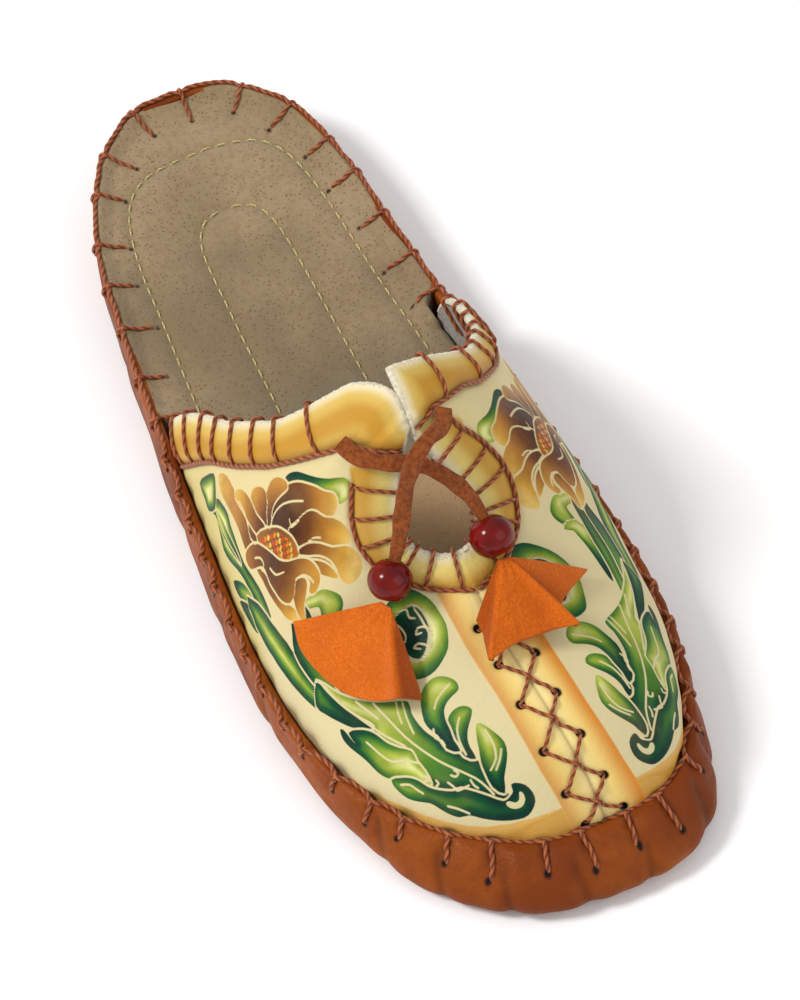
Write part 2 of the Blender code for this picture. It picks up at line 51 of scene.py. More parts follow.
# %% [markdown]
# ## The shoe's measurements
# A last maker works from an outline on the floor, a ridge line over the instep and the height of the stitched
# edge. The same tables shaped the solids, so they are repeated here: `along` runs from -1 at the heel to 1 at the
# toe, and lengths are in metres.

# %% Measurements of the last
SHOE_LENGTH, BALL_WIDTH = 261.3 * MM, 94.4 * MM
RAND_WALL, RAND_FIT = 2.4 * MM, 0.4 * MM
RAND_HEIGHT_HEEL, RAND_HEIGHT_TOE = 17.2 * MM, 13.6 * MM
TOE_LEAN, SOLE_THICK, FOOT_ROUND = 12.6 * MM, 4.0 * MM, 5.0 * MM
TOE_SPRING, BALL_ALONG = 1.6 * MM, 0.68
INSOLE_DROP_HEEL, INSOLE_DROP_TOE = 1.2 * MM, 2.6 * MM
INSOLE_DISH, INSOLE_EDGE = 1.2 * MM, 1.4 * MM
INSOLE_STEP_BACK, INSOLE_STEP_LENGTH = 0.075, 0.05
UPPER_WALL, THROAT_HEIGHT = 2.0 * MM, 83.4 * MM
HEM_DEPTH, HEM_SLACK = 5.5 * MM, 0.6 * MM
KEYHOLE_WIDTH, SLIT_GAP = 19.0 * MM, 1.0 * MM
THONG, BEAD, BEAD_LENGTH = 3.0 * MM, 10.2 * MM, 9.0 * MM
SUEDE, TASSEL_NECK, TASSEL_GATHER = 1.4 * MM, 1.6 * MM, 1.5 * MM
LEAN_COLUMNS = ("along", "right", "left")
LEAN = (
    (-1.00, 0.24, 0.24), (-0.94, 0.04, 0.12), (-0.80, 0.0, 0.04), (-0.30, 0.02, 0.04), (-0.10, 0.10, 0.06),
    (0.58, 0.08, 0.06), (0.76, 0.28, 0.12), (0.90, 0.72, 0.40), (0.97, 0.94, 0.78), (1.00, 1.00, 1.00),
)
EDGE_HALF = (SHOE_LENGTH - RAND_WALL - TOE_LEAN * (LEAN[0][1] + LEAN[-1][1])) / 2
SIDE_HALF = (BALL_WIDTH - RAND_WALL - TOE_LEAN * (0.08 + 0.06)) / 2
OUTLINE_COLUMNS = ("along", "centre", "half_width")
OUTLINE = (
    (-0.960, 0.082, 0.365), (-0.866, 0.074, 0.578), (-0.673, 0.028, 0.736), (-0.481, 0.006, 0.794),
    (-0.288, -0.004, 0.844), (-0.096, 0.004, 0.898), (0.096, 0.007, 0.949), (0.289, 0.008, 0.990),
    (0.481, 0.012, 1.000), (0.674, 0.035, 0.942), (0.866, 0.095, 0.723), (0.970, 0.170, 0.430),
)
END_FULLNESS = 0.6
RIDGE_COLUMNS = ("turn", "across", "height", "peak", "fullness")
RIDGE = (
    (-0.480, -0.052, 1.120, 0.50, 1.0), (-0.160, -0.052, 1.105, 0.50, 1.0), (0.160, -0.052, 1.080, 0.50, 1.0),
    (0.352, -0.052, 1.000, 0.45, 1.0), (0.426, -0.040, 0.828, 0.40, 1.0), (0.499, -0.018, 0.680, 0.35, 0.95),
    (0.572, 0.012, 0.566, 0.25, 0.90), (0.684, 0.028, 0.506, 0.20, 0.85), (0.829, 0.080, 0.442, 0.15, 0.80),
    (0.909, 0.122, 0.372, 0.10, 0.80), (0.965, 0.165, 0.273, 0.05, 0.80),
)
COLLAR_COLUMNS = ("sideways", "along")
COLLAR = (
    (0.0, 0.318), (0.08, 0.298), (0.17, 0.272), (0.29, 0.233), (0.38, 0.194), (0.46, 0.137), (0.56, 0.064),
    (0.63, 0.0), (0.74, -0.080), (0.87, -0.142), (1.0, -0.169),
)
LEFT_WING_EXTRA, SLIT_TOP, KEYHOLE_TOP, KEYHOLE_FOOT = 0.056, 0.318, 0.406, 0.548
LOBE_ROUND, SEAM_FAN = 0.12, 1.14
EAR_STEPS, KEYHOLE_STEPS, SEAM_STEPS = 5, 7, 13
SEAM_START = EAR_STEPS + KEYHOLE_STEPS
RIGHT, LEFT = -1.0, 1.0
WORDS = {RIGHT: "right", LEFT: "left"}


# %% [markdown]
# ## Curves that pass through a short table
# The outline is given at a dozen places. A monotone cubic runs smoothly through them and never swings past a
# value, which a plain spline does at the heel and toe.

# %% Curves from tables
def smooth(rows, names, want, key):
    """Smooth curve through one column of a table."""
    column = names.index(want)
    ordered = sorted(rows, key=lambda row: row[0])
    x = np.array([row[0] for row in ordered])
    y = np.array([row[column] for row in ordered])
    key = np.clip(np.asarray(key, float), x[0], x[-1])
    step = np.diff(x)
    slope = np.diff(y) / step
    tangent = np.r_[slope[0], np.zeros(len(x) - 2), slope[-1]]
    for i in range(1, len(x) - 1):
        if slope[i - 1] * slope[i] > 0:
            before, after = 2 * step[i] + step[i - 1], step[i] + 2 * step[i - 1]
            tangent[i] = (before + after) / (before / slope[i - 1] + after / slope[i])
    i = np.clip(np.searchsorted(x, key, side="right") - 1, 0, len(step) - 1)
    t = (key - x[i]) / step[i]
    return (
        (1 + 2 * t) * (1 - t) ** 2 * y[i]
        + t * (1 - t) ** 2 * step[i] * tangent[i]
        + t * t * (3 - 2 * t) * y[i + 1]
        + t * t * (t - 1) * step[i] * tangent[i + 1]
    )


def ease(t):
    t = np.clip(t, 0, 1)
    return t * t * (3 - 2 * t)


def dome(distance, width):
    """A soft hill, 1 at its middle."""
    return np.exp(-((np.asarray(distance) / width) ** 2))


def unit(v):
    return v / np.maximum(np.linalg.norm(v, axis=-1, keepdims=True), 1e-12)


# %% The stitched edge and the rand below it
def oval(along):
    return np.sqrt(np.clip(1 - np.asarray(along, float) ** 2, 0, 1)) ** END_FULLNESS


WIDTHS = [(row[0], row[2] / float(oval(row[0]))) for row in OUTLINE]


def edge_point(turn, side):
    """A point of the stitched edge in plan, at a turn from the toe."""
    along = np.cos(turn)
    centre = smooth(OUTLINE, OUTLINE_COLUMNS, "centre", along)
    width = smooth(WIDTHS, ("along", "width"), "width", along) * oval(along)
    return EDGE_HALF * along, SIDE_HALF * (centre + side * width)


def ground(along):
    return TOE_SPRING * np.clip((along - BALL_ALONG) / (1 - BALL_ALONG), 0, None) ** 2


def edge_height(along):
    return (RAND_HEIGHT_HEEL + RAND_HEIGHT_TOE) / 2 - (RAND_HEIGHT_HEEL - RAND_HEIGHT_TOE) / 2 * along


def lean(along, side):
    right, left = (smooth(LEAN, LEAN_COLUMNS, name, along) for name in ("right", "left"))
    return TOE_LEAN * np.where(np.asarray(side) > 0, left, right)


def rand_profile(along, side, height_share, offset):
    """How far out and how high the rand's wall is, at a share of its height."""
    low = ground(along)
    tall = edge_height(along) - low
    slope = 2 * height_share * lean(along, side) / tall
    square = np.sqrt(1 + slope**2)
    out = lean(along, side) * (1 - height_share**2) + offset / square
    return out, low + height_share * tall + offset * slope / square


def wing_end(side):
    return COLLAR[-1][1] - (LEFT_WING_EXTRA if side > 0 else 0.0)


# %% The surface of the vamp
TIP_HEIGHT = float(rand_profile(1.0, 1, 1.0, -RAND_WALL / 2 - RAND_FIT)[1])
TIP_RIDGE = (1.0, OUTLINE[-1][1] + 0.03, TIP_HEIGHT / THROAT_HEIGHT, 0.0, RIDGE[-1][4])
VAMP_ROWS = [(-math.acos(row[0]), *row[1:]) for row in (*RIDGE, TIP_RIDGE)]


def vamp(turn, sideways, lift=0.0):
    """A point of the vamp: turn from the toe, sideways from the ridge at 0 to the rand at -1 (right) or 1 (left)."""
    turn, sideways = np.broadcast_arrays(np.asarray(turn, float), np.asarray(sideways, float))
    side = np.where(sideways < 0, -1.0, 1.0)
    share = np.abs(sideways)
    reach = np.sin(share * math.pi / 2)
    along = np.cos(turn)
    out, foot = rand_profile(along, side, 1.0, -RAND_WALL / 2 - RAND_FIT)
    other, _ = rand_profile(along, -side, 1.0, -RAND_WALL / 2 - RAND_FIT)
    x, y_edge = edge_point(turn, side)
    x = x + (out + (other - out) * (1 - reach) / 2) * np.cos(turn)
    y_edge = y_edge + side * out * np.sin(turn)
    across, height, peak, fullness = (smooth(VAMP_ROWS, RIDGE_COLUMNS, name, -turn) for name in RIDGE_COLUMNS[1:])
    crown = np.clip(np.cos(share * math.pi / 2), 0, 1) ** fullness
    y = across * SIDE_HALF + (y_edge - across * SIDE_HALF) * reach
    z = foot + (height * THROAT_HEIGHT - foot) * ((1 - peak) * crown + peak * (1 - reach))
    spot = np.stack([x, y, z], -1)
    if np.any(lift):
        spot = spot + vamp_normal(turn, sideways) * np.asarray(lift)[..., None]
    return spot


def vamp_normal(turn, sideways):
    step = 0.01
    ahead = vamp(turn + step, sideways) - vamp(turn - step, sideways)
    aside = vamp(turn, np.clip(sideways + step, -1, 1)) - vamp(turn, np.clip(sideways - step, -1, 1))
    return -unit(np.cross(ahead, aside))


# %% [markdown]
# ## The camera
# The slipper is seen from above its toe, turned a little. The camera stands on the photograph's line of sight
# with a long lens, so the shoe fills the frame without stretching.

# %% Camera
def aim_camera(place, target, roll, lens):
    place, target = Vector(place), Vector(target)
    ahead = (target - place).normalized()
    level = ahead.cross(Vector((0, 0, 1))).normalized()
    right = level * math.cos(roll) + ahead.cross(level) * math.sin(roll)
    up = right.cross(ahead)
    camera = bpy.data.objects.new("camera", bpy.data.cameras.new("camera"))
    camera.data.lens, camera.data.clip_start = lens, 0.01
    camera.matrix_world = Matrix.Translation(place) @ Matrix((right, up, -ahead)).transposed().to_4x4()
    bpy.context.scene.collection.objects.link(camera)
    bpy.context.scene.camera = camera
    return camera


CAMERA_PLACE, CAMERA_TARGET = (0.52142, -0.17810, 0.70882), (0.02493, 0.00235, 0.0200)
CAMERA_ROLL, CAMERA_LENS = math.radians(4.995), 134.16
camera = aim_camera(CAMERA_PLACE, CAMERA_TARGET, CAMERA_ROLL, CAMERA_LENS)
print("camera stands", round((camera.location - Vector(CAMERA_TARGET)).length, 3), "m away")


# %% [markdown]
# ## Finishes
# Each material is a small network of nodes: a colour that wanders a little, a roughness, and a bump at the scale of
# the real grain. Colours are written as a painter reads them, from 0 to 255.

# %% Helpers for finishes
def pigment(red, green, blue):
    """A colour as a painter reads it, turned into the linear light that the shader wants."""
    values = np.array([red, green, blue], float) / 255
    linear = np.where(values <= 0.04045, values / 12.92, ((values + 0.055) / 1.055) ** 2.4)
    return (*[float(v) for v in linear], 1.0)


class Finish:
    """A material under construction: nodes are added by name and wired in one line each."""

    def __init__(self, name, roughness=0.6, sheen=0.0, coat=0.0, specular=0.5):
        self.material = bpy.data.materials.new(name)
        self.material.use_nodes = True
        self.tree = self.material.node_tree
        self.shader = self.tree.nodes["Principled BSDF"]
        self.shader.inputs["Roughness"].default_value = roughness
        self.shader.inputs["Sheen Weight"].default_value = sheen
        self.shader.inputs["Coat Weight"].default_value = coat
        self.shader.inputs["Coat Roughness"].default_value = 0.15
        self.shader.inputs["Specular IOR Level"].default_value = specular
        self.place = self.node("ShaderNodeTexCoord").outputs["Object"]

    def node(self, kind, **settings):
        item = self.tree.nodes.new(kind)
        for key, value in settings.items():
            setattr(item, key, value)
        return item

    def wire(self, start, end):
        self.tree.links.new(start, end)

    def noise(self, scale, detail=3.0, rough=0.55, place=None):
        item = self.node("ShaderNodeTexNoise")
        item.inputs["Scale"].default_value = scale
        item.inputs["Detail"].default_value = detail
        item.inputs["Roughness"].default_value = rough
        self.wire(place or self.place, item.inputs["Vector"])
        return item.outputs["Fac"]

    def cells(self, scale, feature="F1", chance=1.0):
        item = self.node("ShaderNodeTexVoronoi", feature=feature)
        item.inputs["Scale"].default_value = scale
        item.inputs["Randomness"].default_value = chance
        self.wire(self.place, item.inputs["Vector"])
        return item.outputs["Distance"]

    def stretched(self, amounts):
        item = self.node("ShaderNodeMapping")
        item.inputs["Scale"].default_value = amounts
        self.wire(self.place, item.inputs["Vector"])
        return item.outputs["Vector"]

    def ramp(self, value, low, high, start=0.0, end=1.0):
        item = self.node("ShaderNodeMapRange", interpolation_type="SMOOTHSTEP")
        for name, number in (("From Min", low), ("From Max", high), ("To Min", start), ("To Max", end)):
            item.inputs[name].default_value = number
        self.wire(value, item.inputs["Value"])
        return item.outputs["Result"]

    def blend(self, amount, first, second, how="MIX"):
        """Mixes two colours; each is a colour or another node's output."""
        item = self.node("ShaderNodeMix", data_type="RGBA", blend_type=how)
        sockets = [s for s in item.inputs if s.type == "RGBA"]
        factor = item.inputs["Factor"]
        if isinstance(amount, float):
            factor.default_value = amount
        else:
            self.wire(amount, factor)
        for socket, value in zip(sockets, (first, second)):
            if isinstance(value, tuple):
                socket.default_value = value
            else:
                self.wire(value, socket)
        return next(s for s in item.outputs if s.type == "RGBA")

    def sum(self, first, second, how="ADD"):
        item = self.node("ShaderNodeMath", operation=how)
        for socket, value in zip(item.inputs, (first, second)):
            if isinstance(value, float):
                socket.default_value = value
            else:
                self.wire(value, socket)
        return item.outputs["Value"]

    def carried(self, name, colour=False):
        """A number or colour that the mesh carries at each point."""
        item = self.node("ShaderNodeAttribute", attribute_name=name)
        return item.outputs["Color" if colour else "Fac"]

    def done(self, colour, *bumps, roughness=None):
        """Sets the colour, the bumps as (height, depth in metres) pairs, and a varying roughness."""
        if isinstance(colour, tuple):
            self.shader.inputs["Base Color"].default_value = colour
        else:
            self.wire(colour, self.shader.inputs["Base Color"])
        before = None
        for height, depth in bumps:
            item = self.node("ShaderNodeBump")
            item.inputs["Strength"].default_value = 1.0
            item.inputs["Distance"].default_value = depth
            self.wire(height, item.inputs["Height"])
            if before:
                self.wire(before, item.inputs["Normal"])
            before = item.outputs["Normal"]
        if before:
            self.wire(before, self.shader.inputs["Normal"])
        if roughness is not None:
            self.wire(roughness, self.shader.inputs["Roughness"])
        return self.material


# %% [markdown]
# ## Leather, suede, cord and wood
# Smooth brown leather shows fine grain, with painted shade in its folds and creases. Suede has no gloss but a nap
# that catches light at its edge, and fine pores. The cord is waxed and twisted. The beads are lacquered wood.

# %% Finishes of the shoe
def make_rand_leather():
    finish = Finish("rand_leather", roughness=0.5, specular=0.15)
    tone_and_shade = finish.blend(finish.ramp(finish.noise(38, 4), 0.35, 0.68), pigment(116, 50, 6), pigment(152, 76, 14))
    tone_and_shade = finish.blend(finish.ramp(finish.noise(420, 2), 0.5, 0.75, 0.0, 0.35), tone_and_shade, pigment(108, 48, 14))
    # Painted shade: darker in the trough at each stitch and in each crease of the wall.
    tone_and_shade = finish.blend(finish.ramp(finish.carried("painted_shade"), 0.0, 1.0), tone_and_shade, pigment(40, 12, 2))
    # Painted shade: nearly black in the hole at the foot of each stitch leg.
    tone_and_shade = finish.blend(finish.ramp(finish.carried("pinhole_shade"), 0.2, 0.8), tone_and_shade, pigment(14, 6, 4))
    grain = finish.cells(1500, "F1")
    return finish.done(tone_and_shade, (finish.noise(160, 4), 0.0005), (grain, 0.00012),
                       roughness=finish.ramp(finish.noise(260, 3), 0.3, 0.7, 0.42, 0.6))


def make_insole_suede():
    finish = Finish("insole_nap", roughness=0.95, sheen=0.25, specular=0.15)
    tone = finish.blend(finish.ramp(finish.noise(24, 4), 0.3, 0.7), pigment(126, 108, 80), pigment(156, 134, 102))
    tone = finish.blend(finish.ramp(finish.noise(520, 3), 0.42, 0.70, 0.0, 0.35), tone, pigment(124, 98, 70))
    pores = finish.ramp(finish.cells(900), 0.10, 0.34, 0.75, 0.0)
    patches = finish.ramp(finish.noise(60, 2), 0.22, 0.55)
    tone = finish.blend(finish.sum(pores, patches, "MULTIPLY"), tone, pigment(104, 72, 46))
    # Painted shade: greyer and darker under the back of the vamp, at the throat.
    tone = finish.blend(finish.ramp(finish.carried("throat_shade"), 0.0, 1.0, 0.0, 0.5), tone, pigment(96, 104, 92))
    # Lighter towards the toe.
    tone = finish.blend(finish.ramp(finish.carried("lighter_forward"), 0.0, 1.0, 0.0, 0.85), tone, pigment(202, 164, 120))
    # Painted shade in the quilted channels.
    tone = finish.blend(finish.ramp(finish.carried("painted_shade"), 0.0, 1.0, 0.0, 0.7), tone, pigment(120, 96, 72))
    # Painted shade in the stitch holes round the heel.
    tone = finish.blend(finish.ramp(finish.carried("pinhole_shade"), 0.2, 0.8), tone, pigment(48, 26, 16))
    return finish.done(tone, (finish.noise(900, 4, 0.7), 0.00025), (pores, -0.00012))


def make_painted_leather():
    finish = Finish("painted_vamp", roughness=0.48, specular=0.14)
    cream = finish.carried("ground_tone", True)
    fill = finish.carried("fill_tone", True)
    streaks = finish.ramp(finish.noise(210, 3), 0.35, 0.7, 0.0, 0.22)
    brushed = finish.blend(streaks, fill, pigment(20, 40, 20), "MULTIPLY")
    tone = finish.blend(finish.ramp(finish.carried("ink"), -0.10, 0.14), cream, brushed)
    tone = finish.blend(finish.ramp(finish.noise(60, 3), 0.45, 0.8, 0.0, 0.14), tone, pigment(206, 176, 120))
    # Painted shade along the seam, the purl lines, round the lace holes and where the sheet meets the rand.
    tone = finish.blend(finish.ramp(finish.carried("painted_shade"), 0.0, 1.0, 0.0, 0.85), tone, pigment(92, 52, 22))
    # Painted shade: nearly black in the lace holes and in the holes of the keyhole's legs.
    tone = finish.blend(finish.ramp(finish.carried("pinhole_shade"), 0.25, 0.75), tone, pigment(10, 8, 8))
    return finish.done(tone, (finish.noise(700, 4, 0.6), 0.00010), (finish.cells(1300), 0.00005),
                       roughness=finish.ramp(finish.noise(120, 3), 0.3, 0.7, 0.40, 0.56))


def make_lining_fleece():
    finish = Finish("lining_fleece", roughness=1.0, sheen=0.4, specular=0.1)
    tufts = finish.noise(620, 5, 0.7, finish.stretched((1.0, 0.5, 1.6)))
    tone = finish.blend(finish.ramp(tufts, 0.3, 0.7), pigment(118, 106, 92), pigment(178, 168, 152))
    tone = finish.blend(finish.ramp(finish.noise(60, 3), 0.4, 0.7, 0.0, 0.4), tone, pigment(128, 104, 84))
    return finish.done(tone, (tufts, 0.0008))


def make_raw_edge():
    finish = Finish("raw_edge", roughness=0.95, sheen=0.3, specular=0.15)
    fibres = finish.noise(1100, 4, 0.7)
    tone = finish.blend(finish.ramp(fibres, 0.35, 0.7), pigment(196, 186, 160), pigment(230, 222, 198))
    return finish.done(tone, (fibres, 0.00014))


def make_cord_finish(name, dark, light):
    finish = Finish(name, roughness=0.62, sheen=0.15, specular=0.3)
    # Painted shade in the grooves between the plies and painted highlight on their crowns.
    tone = finish.blend(finish.ramp(finish.carried("ply"), -0.9, 0.7), dark, light)
    tone = finish.blend(finish.ramp(finish.noise(900, 2), 0.4, 0.7, 0.0, 0.45), tone, dark)
    return finish.done(tone, (finish.noise(2600, 2), 0.00008))


def make_thong_suede():
    finish = Finish("thong_nap", roughness=0.9, sheen=0.2, specular=0.2)
    nap = finish.noise(900, 4, 0.7)
    tone = finish.blend(finish.ramp(nap, 0.3, 0.7), pigment(104, 48, 14), pigment(148, 76, 28))
    tone = finish.blend(finish.ramp(finish.noise(130, 3), 0.45, 0.75, 0.0, 0.35), tone, pigment(92, 40, 12))
    return finish.done(tone, (nap, 0.00022))


def make_tassel_suede():
    finish = Finish("tassel_nap", roughness=0.9, sheen=0.1, specular=0.15)
    nap = finish.noise(1900, 4, 0.65)
    tone = finish.blend(finish.ramp(nap, 0.3, 0.72), pigment(188, 84, 8), pigment(220, 112, 20))
    tone = finish.blend(finish.ramp(finish.noise(110, 3), 0.4, 0.7, 0.0, 0.5), tone, pigment(186, 86, 12))
    # Painted shade on the parts of the fan turned away from the key light.
    tone = finish.blend(finish.carried("painted_shade"), tone, pigment(120, 42, 4))
    return finish.done(tone, (nap, 0.00022), (finish.noise(240, 3), 0.0003))


def make_bead_wood():
    finish = Finish("red_lacquer", roughness=0.13, coat=0.06, specular=0.2)
    finish.shader.inputs["Coat Roughness"].default_value = 0.05
    figure = finish.noise(150, 3, 0.5, finish.stretched((1.0, 1.0, 0.35)))
    tone = finish.blend(finish.ramp(figure, 0.3, 0.7), pigment(80, 7, 5), pigment(122, 17, 9))
    return finish.done(tone)


CORD_BROWN = make_cord_finish("stitch_cord", pigment(100, 42, 14), pigment(172, 92, 46))
QUILT_YELLOW = make_cord_finish("quilting_thread", pigment(150, 134, 76), pigment(212, 200, 140))
RAND_LEATHER, INSOLE_NAP, PAINTED_VAMP = make_rand_leather(), make_insole_suede(), make_painted_leather()
FLEECE, RAW_EDGE, THONG_NAP = make_lining_fleece(), make_raw_edge(), make_thong_suede()
TASSEL_NAP, RED_LACQUER = make_tassel_suede(), make_bead_wood()
print(len(bpy.data.materials), "finishes")


# %% [markdown]
# ## Making a piece
# A piece is a grid or a list of points with faces. Numbers that the finish needs, such as how much painted shade a
# point gets, travel with the mesh as attributes. Each piece then rides on the shoe's one body.

# %% Helpers for pieces
def make_piece(name, points, faces, finish, carried=(), tones=(), stands_for=(), join=0.0):
    mesh = bpy.data.meshes.new(name)
    mesh.from_pydata([tuple(map(float, p)) for p in points], [], [list(map(int, f)) for f in faces])
    for key, values in dict(carried).items():
        layer = mesh.attributes.new(key, "FLOAT", "POINT")
        layer.data.foreach_set("value", np.asarray(values, np.float32).ravel())
    for key, values in dict(tones).items():
        layer = mesh.attributes.new(key, "FLOAT_COLOR", "POINT")
        layer.data.foreach_set("color", np.asarray(values, np.float32).ravel())
    if join:
        body = bmesh.new()
        body.from_mesh(mesh)
        bmesh.ops.remove_doubles(body, verts=body.verts, dist=join)
        bmesh.ops.dissolve_degenerate(body, edges=body.edges, dist=1e-7)
        body.to_mesh(mesh)
        body.free()
    mesh.validate()
    mesh.polygons.foreach_set("use_smooth", [True] * len(mesh.polygons))
    mesh.materials.append(finish)
    item = bpy.data.objects.new(name, mesh)
    bpy.context.scene.collection.objects.link(item)
    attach(item, "root")
    if stands_for:
        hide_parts(*stands_for)
    return item


def turn_outward(item, top=None):
    """Turns the faces of a closed piece outward; with a height top, those above it have to look up."""
    body = bmesh.new()
    body.from_mesh(item.data)
    bmesh.ops.recalc_face_normals(body, faces=body.faces)
    if top is not None and sum(f.normal.z for f in body.faces if f.calc_center_median().z > top) < 0:
        bmesh.ops.reverse_faces(body, faces=body.faces)
    body.to_mesh(item.data)
    body.free()


def grid_faces(columns, rows, first=0, closed=False, flip=False):
    """Quads of a grid whose points are listed column by column."""
    i, j = np.meshgrid(np.arange(columns if closed else columns - 1), np.arange(rows - 1), indexing="ij")
    k = (i + 1) % columns
    quads = np.stack([i * rows + j, k * rows + j, k * rows + j + 1, i * rows + j + 1], -1).reshape(-1, 4) + first
    return (quads[:, ::-1] if flip else quads).tolist()


def tube_faces(count, sides):
    """Faces round a tube whose points are listed ring by ring, without its ends."""
    return [(i * sides + k, i * sides + (k + 1) % sides, (i + 1) * sides + (k + 1) % sides, (i + 1) * sides + k)
            for i in range(count - 1) for k in range(sides)]


def end_caps(count, sides):
    """The two ends of such a tube."""
    return [tuple(range(sides))[::-1], tuple(range((count - 1) * sides, count * sides))]


def grid_normals(grid):
    """Normals of a grid of points."""
    return unit(np.cross(np.gradient(grid, axis=0), np.gradient(grid, axis=1)))


def curve_pieces(q, t):
    """A smooth curve through a list of points but its two ends, at the shares t of each step."""
    return [0.5 * (2 * b + (c - a) * t + (2 * a - 5 * b + 4 * c - d) * t**2 + (3 * b - a - 3 * c + d) * t**3)
            for a, b, c, d in zip(q, q[1:], q[2:], q[3:])]


def even(points, spacing):
    """Evenly spaced points on a smooth curve through a few points."""
    p = np.asarray(points, float)
    if len(p) > 2:
        q = np.vstack([2 * p[0] - p[1], p, 2 * p[-1] - p[-2]])
        p = np.vstack([*curve_pieces(q, np.arange(12)[:, None] / 12), p[-1:]])
    length = np.r_[0, np.cumsum(np.linalg.norm(np.diff(p, axis=0), axis=1))]
    want = np.linspace(0, length[-1], max(2, round(length[-1] / spacing)) + 1)
    return np.column_stack([np.interp(want, length, p[:, k]) for k in range(p.shape[1])])


def run_length(points):
    return float(np.linalg.norm(np.diff(np.asarray(points), axis=0), axis=1).sum())


def frames_along(points, first_up=None):
    """Two directions square to a curve at each point, turned as little as possible."""
    tangent = unit(np.gradient(points, axis=0))
    up = np.array(first_up if first_up is not None else (0.0, 0.0, 1.0))
    ups = []
    for direction in tangent:
        up = up - direction * np.dot(up, direction)
        if np.linalg.norm(up) < 1e-6:
            up = np.cross(direction, (1.0, 0.3, 0.1))
        up = up / np.linalg.norm(up)
        ups.append(up)
    ups = np.array(ups)
    return tangent, ups, np.cross(tangent, ups)


def twisted(points, width, pitch=2.4 * MM, sides=10, spacing=0.45 * MM, plies=2):
    """Points, faces and ply numbers of a twisted cord along a curve."""
    line = even(points, spacing)
    tangent, up, aside = frames_along(line)
    travelled = np.arange(len(line)) * run_length(line) / max(1, len(line) - 1)
    angle = 2 * math.pi * np.arange(sides) / sides
    # ply also sets the cord finish's painted shade in the grooves and painted highlight on the crowns.
    ply = np.cos(plies * (angle[None] - 2 * math.pi * travelled[:, None] / (pitch * plies)))
    taper = np.minimum(1, 0.35 + np.minimum(np.arange(len(line)), np.arange(len(line))[::-1]) / 2.5)
    radius = width / 2 * (0.90 + 0.13 * ply) * taper[:, None]
    ring = line[:, None] + radius[..., None] * (
        np.cos(angle)[None, :, None] * up[:, None] + np.sin(angle)[None, :, None] * aside[:, None]
    )
    faces = tube_faces(len(line), sides) + end_caps(len(line), sides)
    return ring.reshape(-1, 3), faces, ply.ravel()


def make_cords(name, routes, width, finish, stands_for=(), part_slot=None, **shape):
    """Several twisted cords as one piece."""
    points, faces, ply = [], [], []
    first = 0
    for route in routes:
        p, f, v = twisted(route, width, **shape)
        points.append(p)
        faces.extend(tuple(k + first for k in face) for face in f)
        ply.append(v)
        first += len(p)
    return make_piece(name, np.vstack(points), faces, finish, {"ply": np.concatenate(ply)}, (), stands_for)


class Skin:
    """A finished surface that stitches and trim can be laid on."""

    def __init__(self, *items):
        points, faces = [], []
        for item in items:
            first = len(points)
            points += [v.co.copy() for v in item.data.vertices]
            faces += [[first + k for k in p.vertices] for p in item.data.polygons]
        self.tree = BVHTree.FromPolygons(points, faces)

    def lay(self, points, lift):
        """The nearest points of the surface, raised by a lift."""
        laid = []
        lift = np.broadcast_to(lift, (len(points),))
        for point, height in zip(points, lift):
            spot, normal, _, _ = self.tree.find_nearest(Vector(point))
            laid.append(np.array(spot) + np.array(normal) * height)
        return np.array(laid)

    def drop(self, points, lift):
        """The points of the surface straight below, raised by a lift."""
        spots = [self.tree.ray_cast(Vector((x, y, 0.1)), Vector((0, 0, -1)))[0] for x, y, _ in points]
        return np.array(spots) + np.column_stack([np.zeros((len(points), 2)), lift])


# %% [markdown]
# ## Thongs
# Two suede laces start on the ears of the vamp, cross over each other and run down through the beads. They are
# flat strips cut with a knife, so each is a rounded rectangle swept along its route, with its broad face on the
# shoe. They are the only free cords here.

# %% Thong routes
THONG_ROUTES = {
    "left": ((42.9, -16.9, 72.9), (47.1, -14.7, 71.4), (50.6, -9.3, 70.2), (53.0, -3.1, 69.2), (55.7, 1.7, 65.6),
             (58.8, 5.4, 61.0), (62.3, 7.0, 57.5), (67.3, 7.6, 53.7), (70.4, 8.1, 51.3)),
    "right": ((46.4, 6.4, 75.9), (49.9, 4.5, 74.9), (52.4, 0.0, 75.4), (54.7, -4.3, 73.2), (56.5, -7.4, 67.9),
              (58.6, -9.5, 62.5), (61.7, -12.0, 57.6), (66.9, -16.8, 51.5), (69.1, -18.7, 48.9)),
}
BEAD_SEAT = 7  # the point of the route that the bead is threaded on
FLAT_WIDE, FLAT_THICK, FLAT_SIDES = 1.9, 0.62, 16  # half the strip's width and thickness in mm, points round it


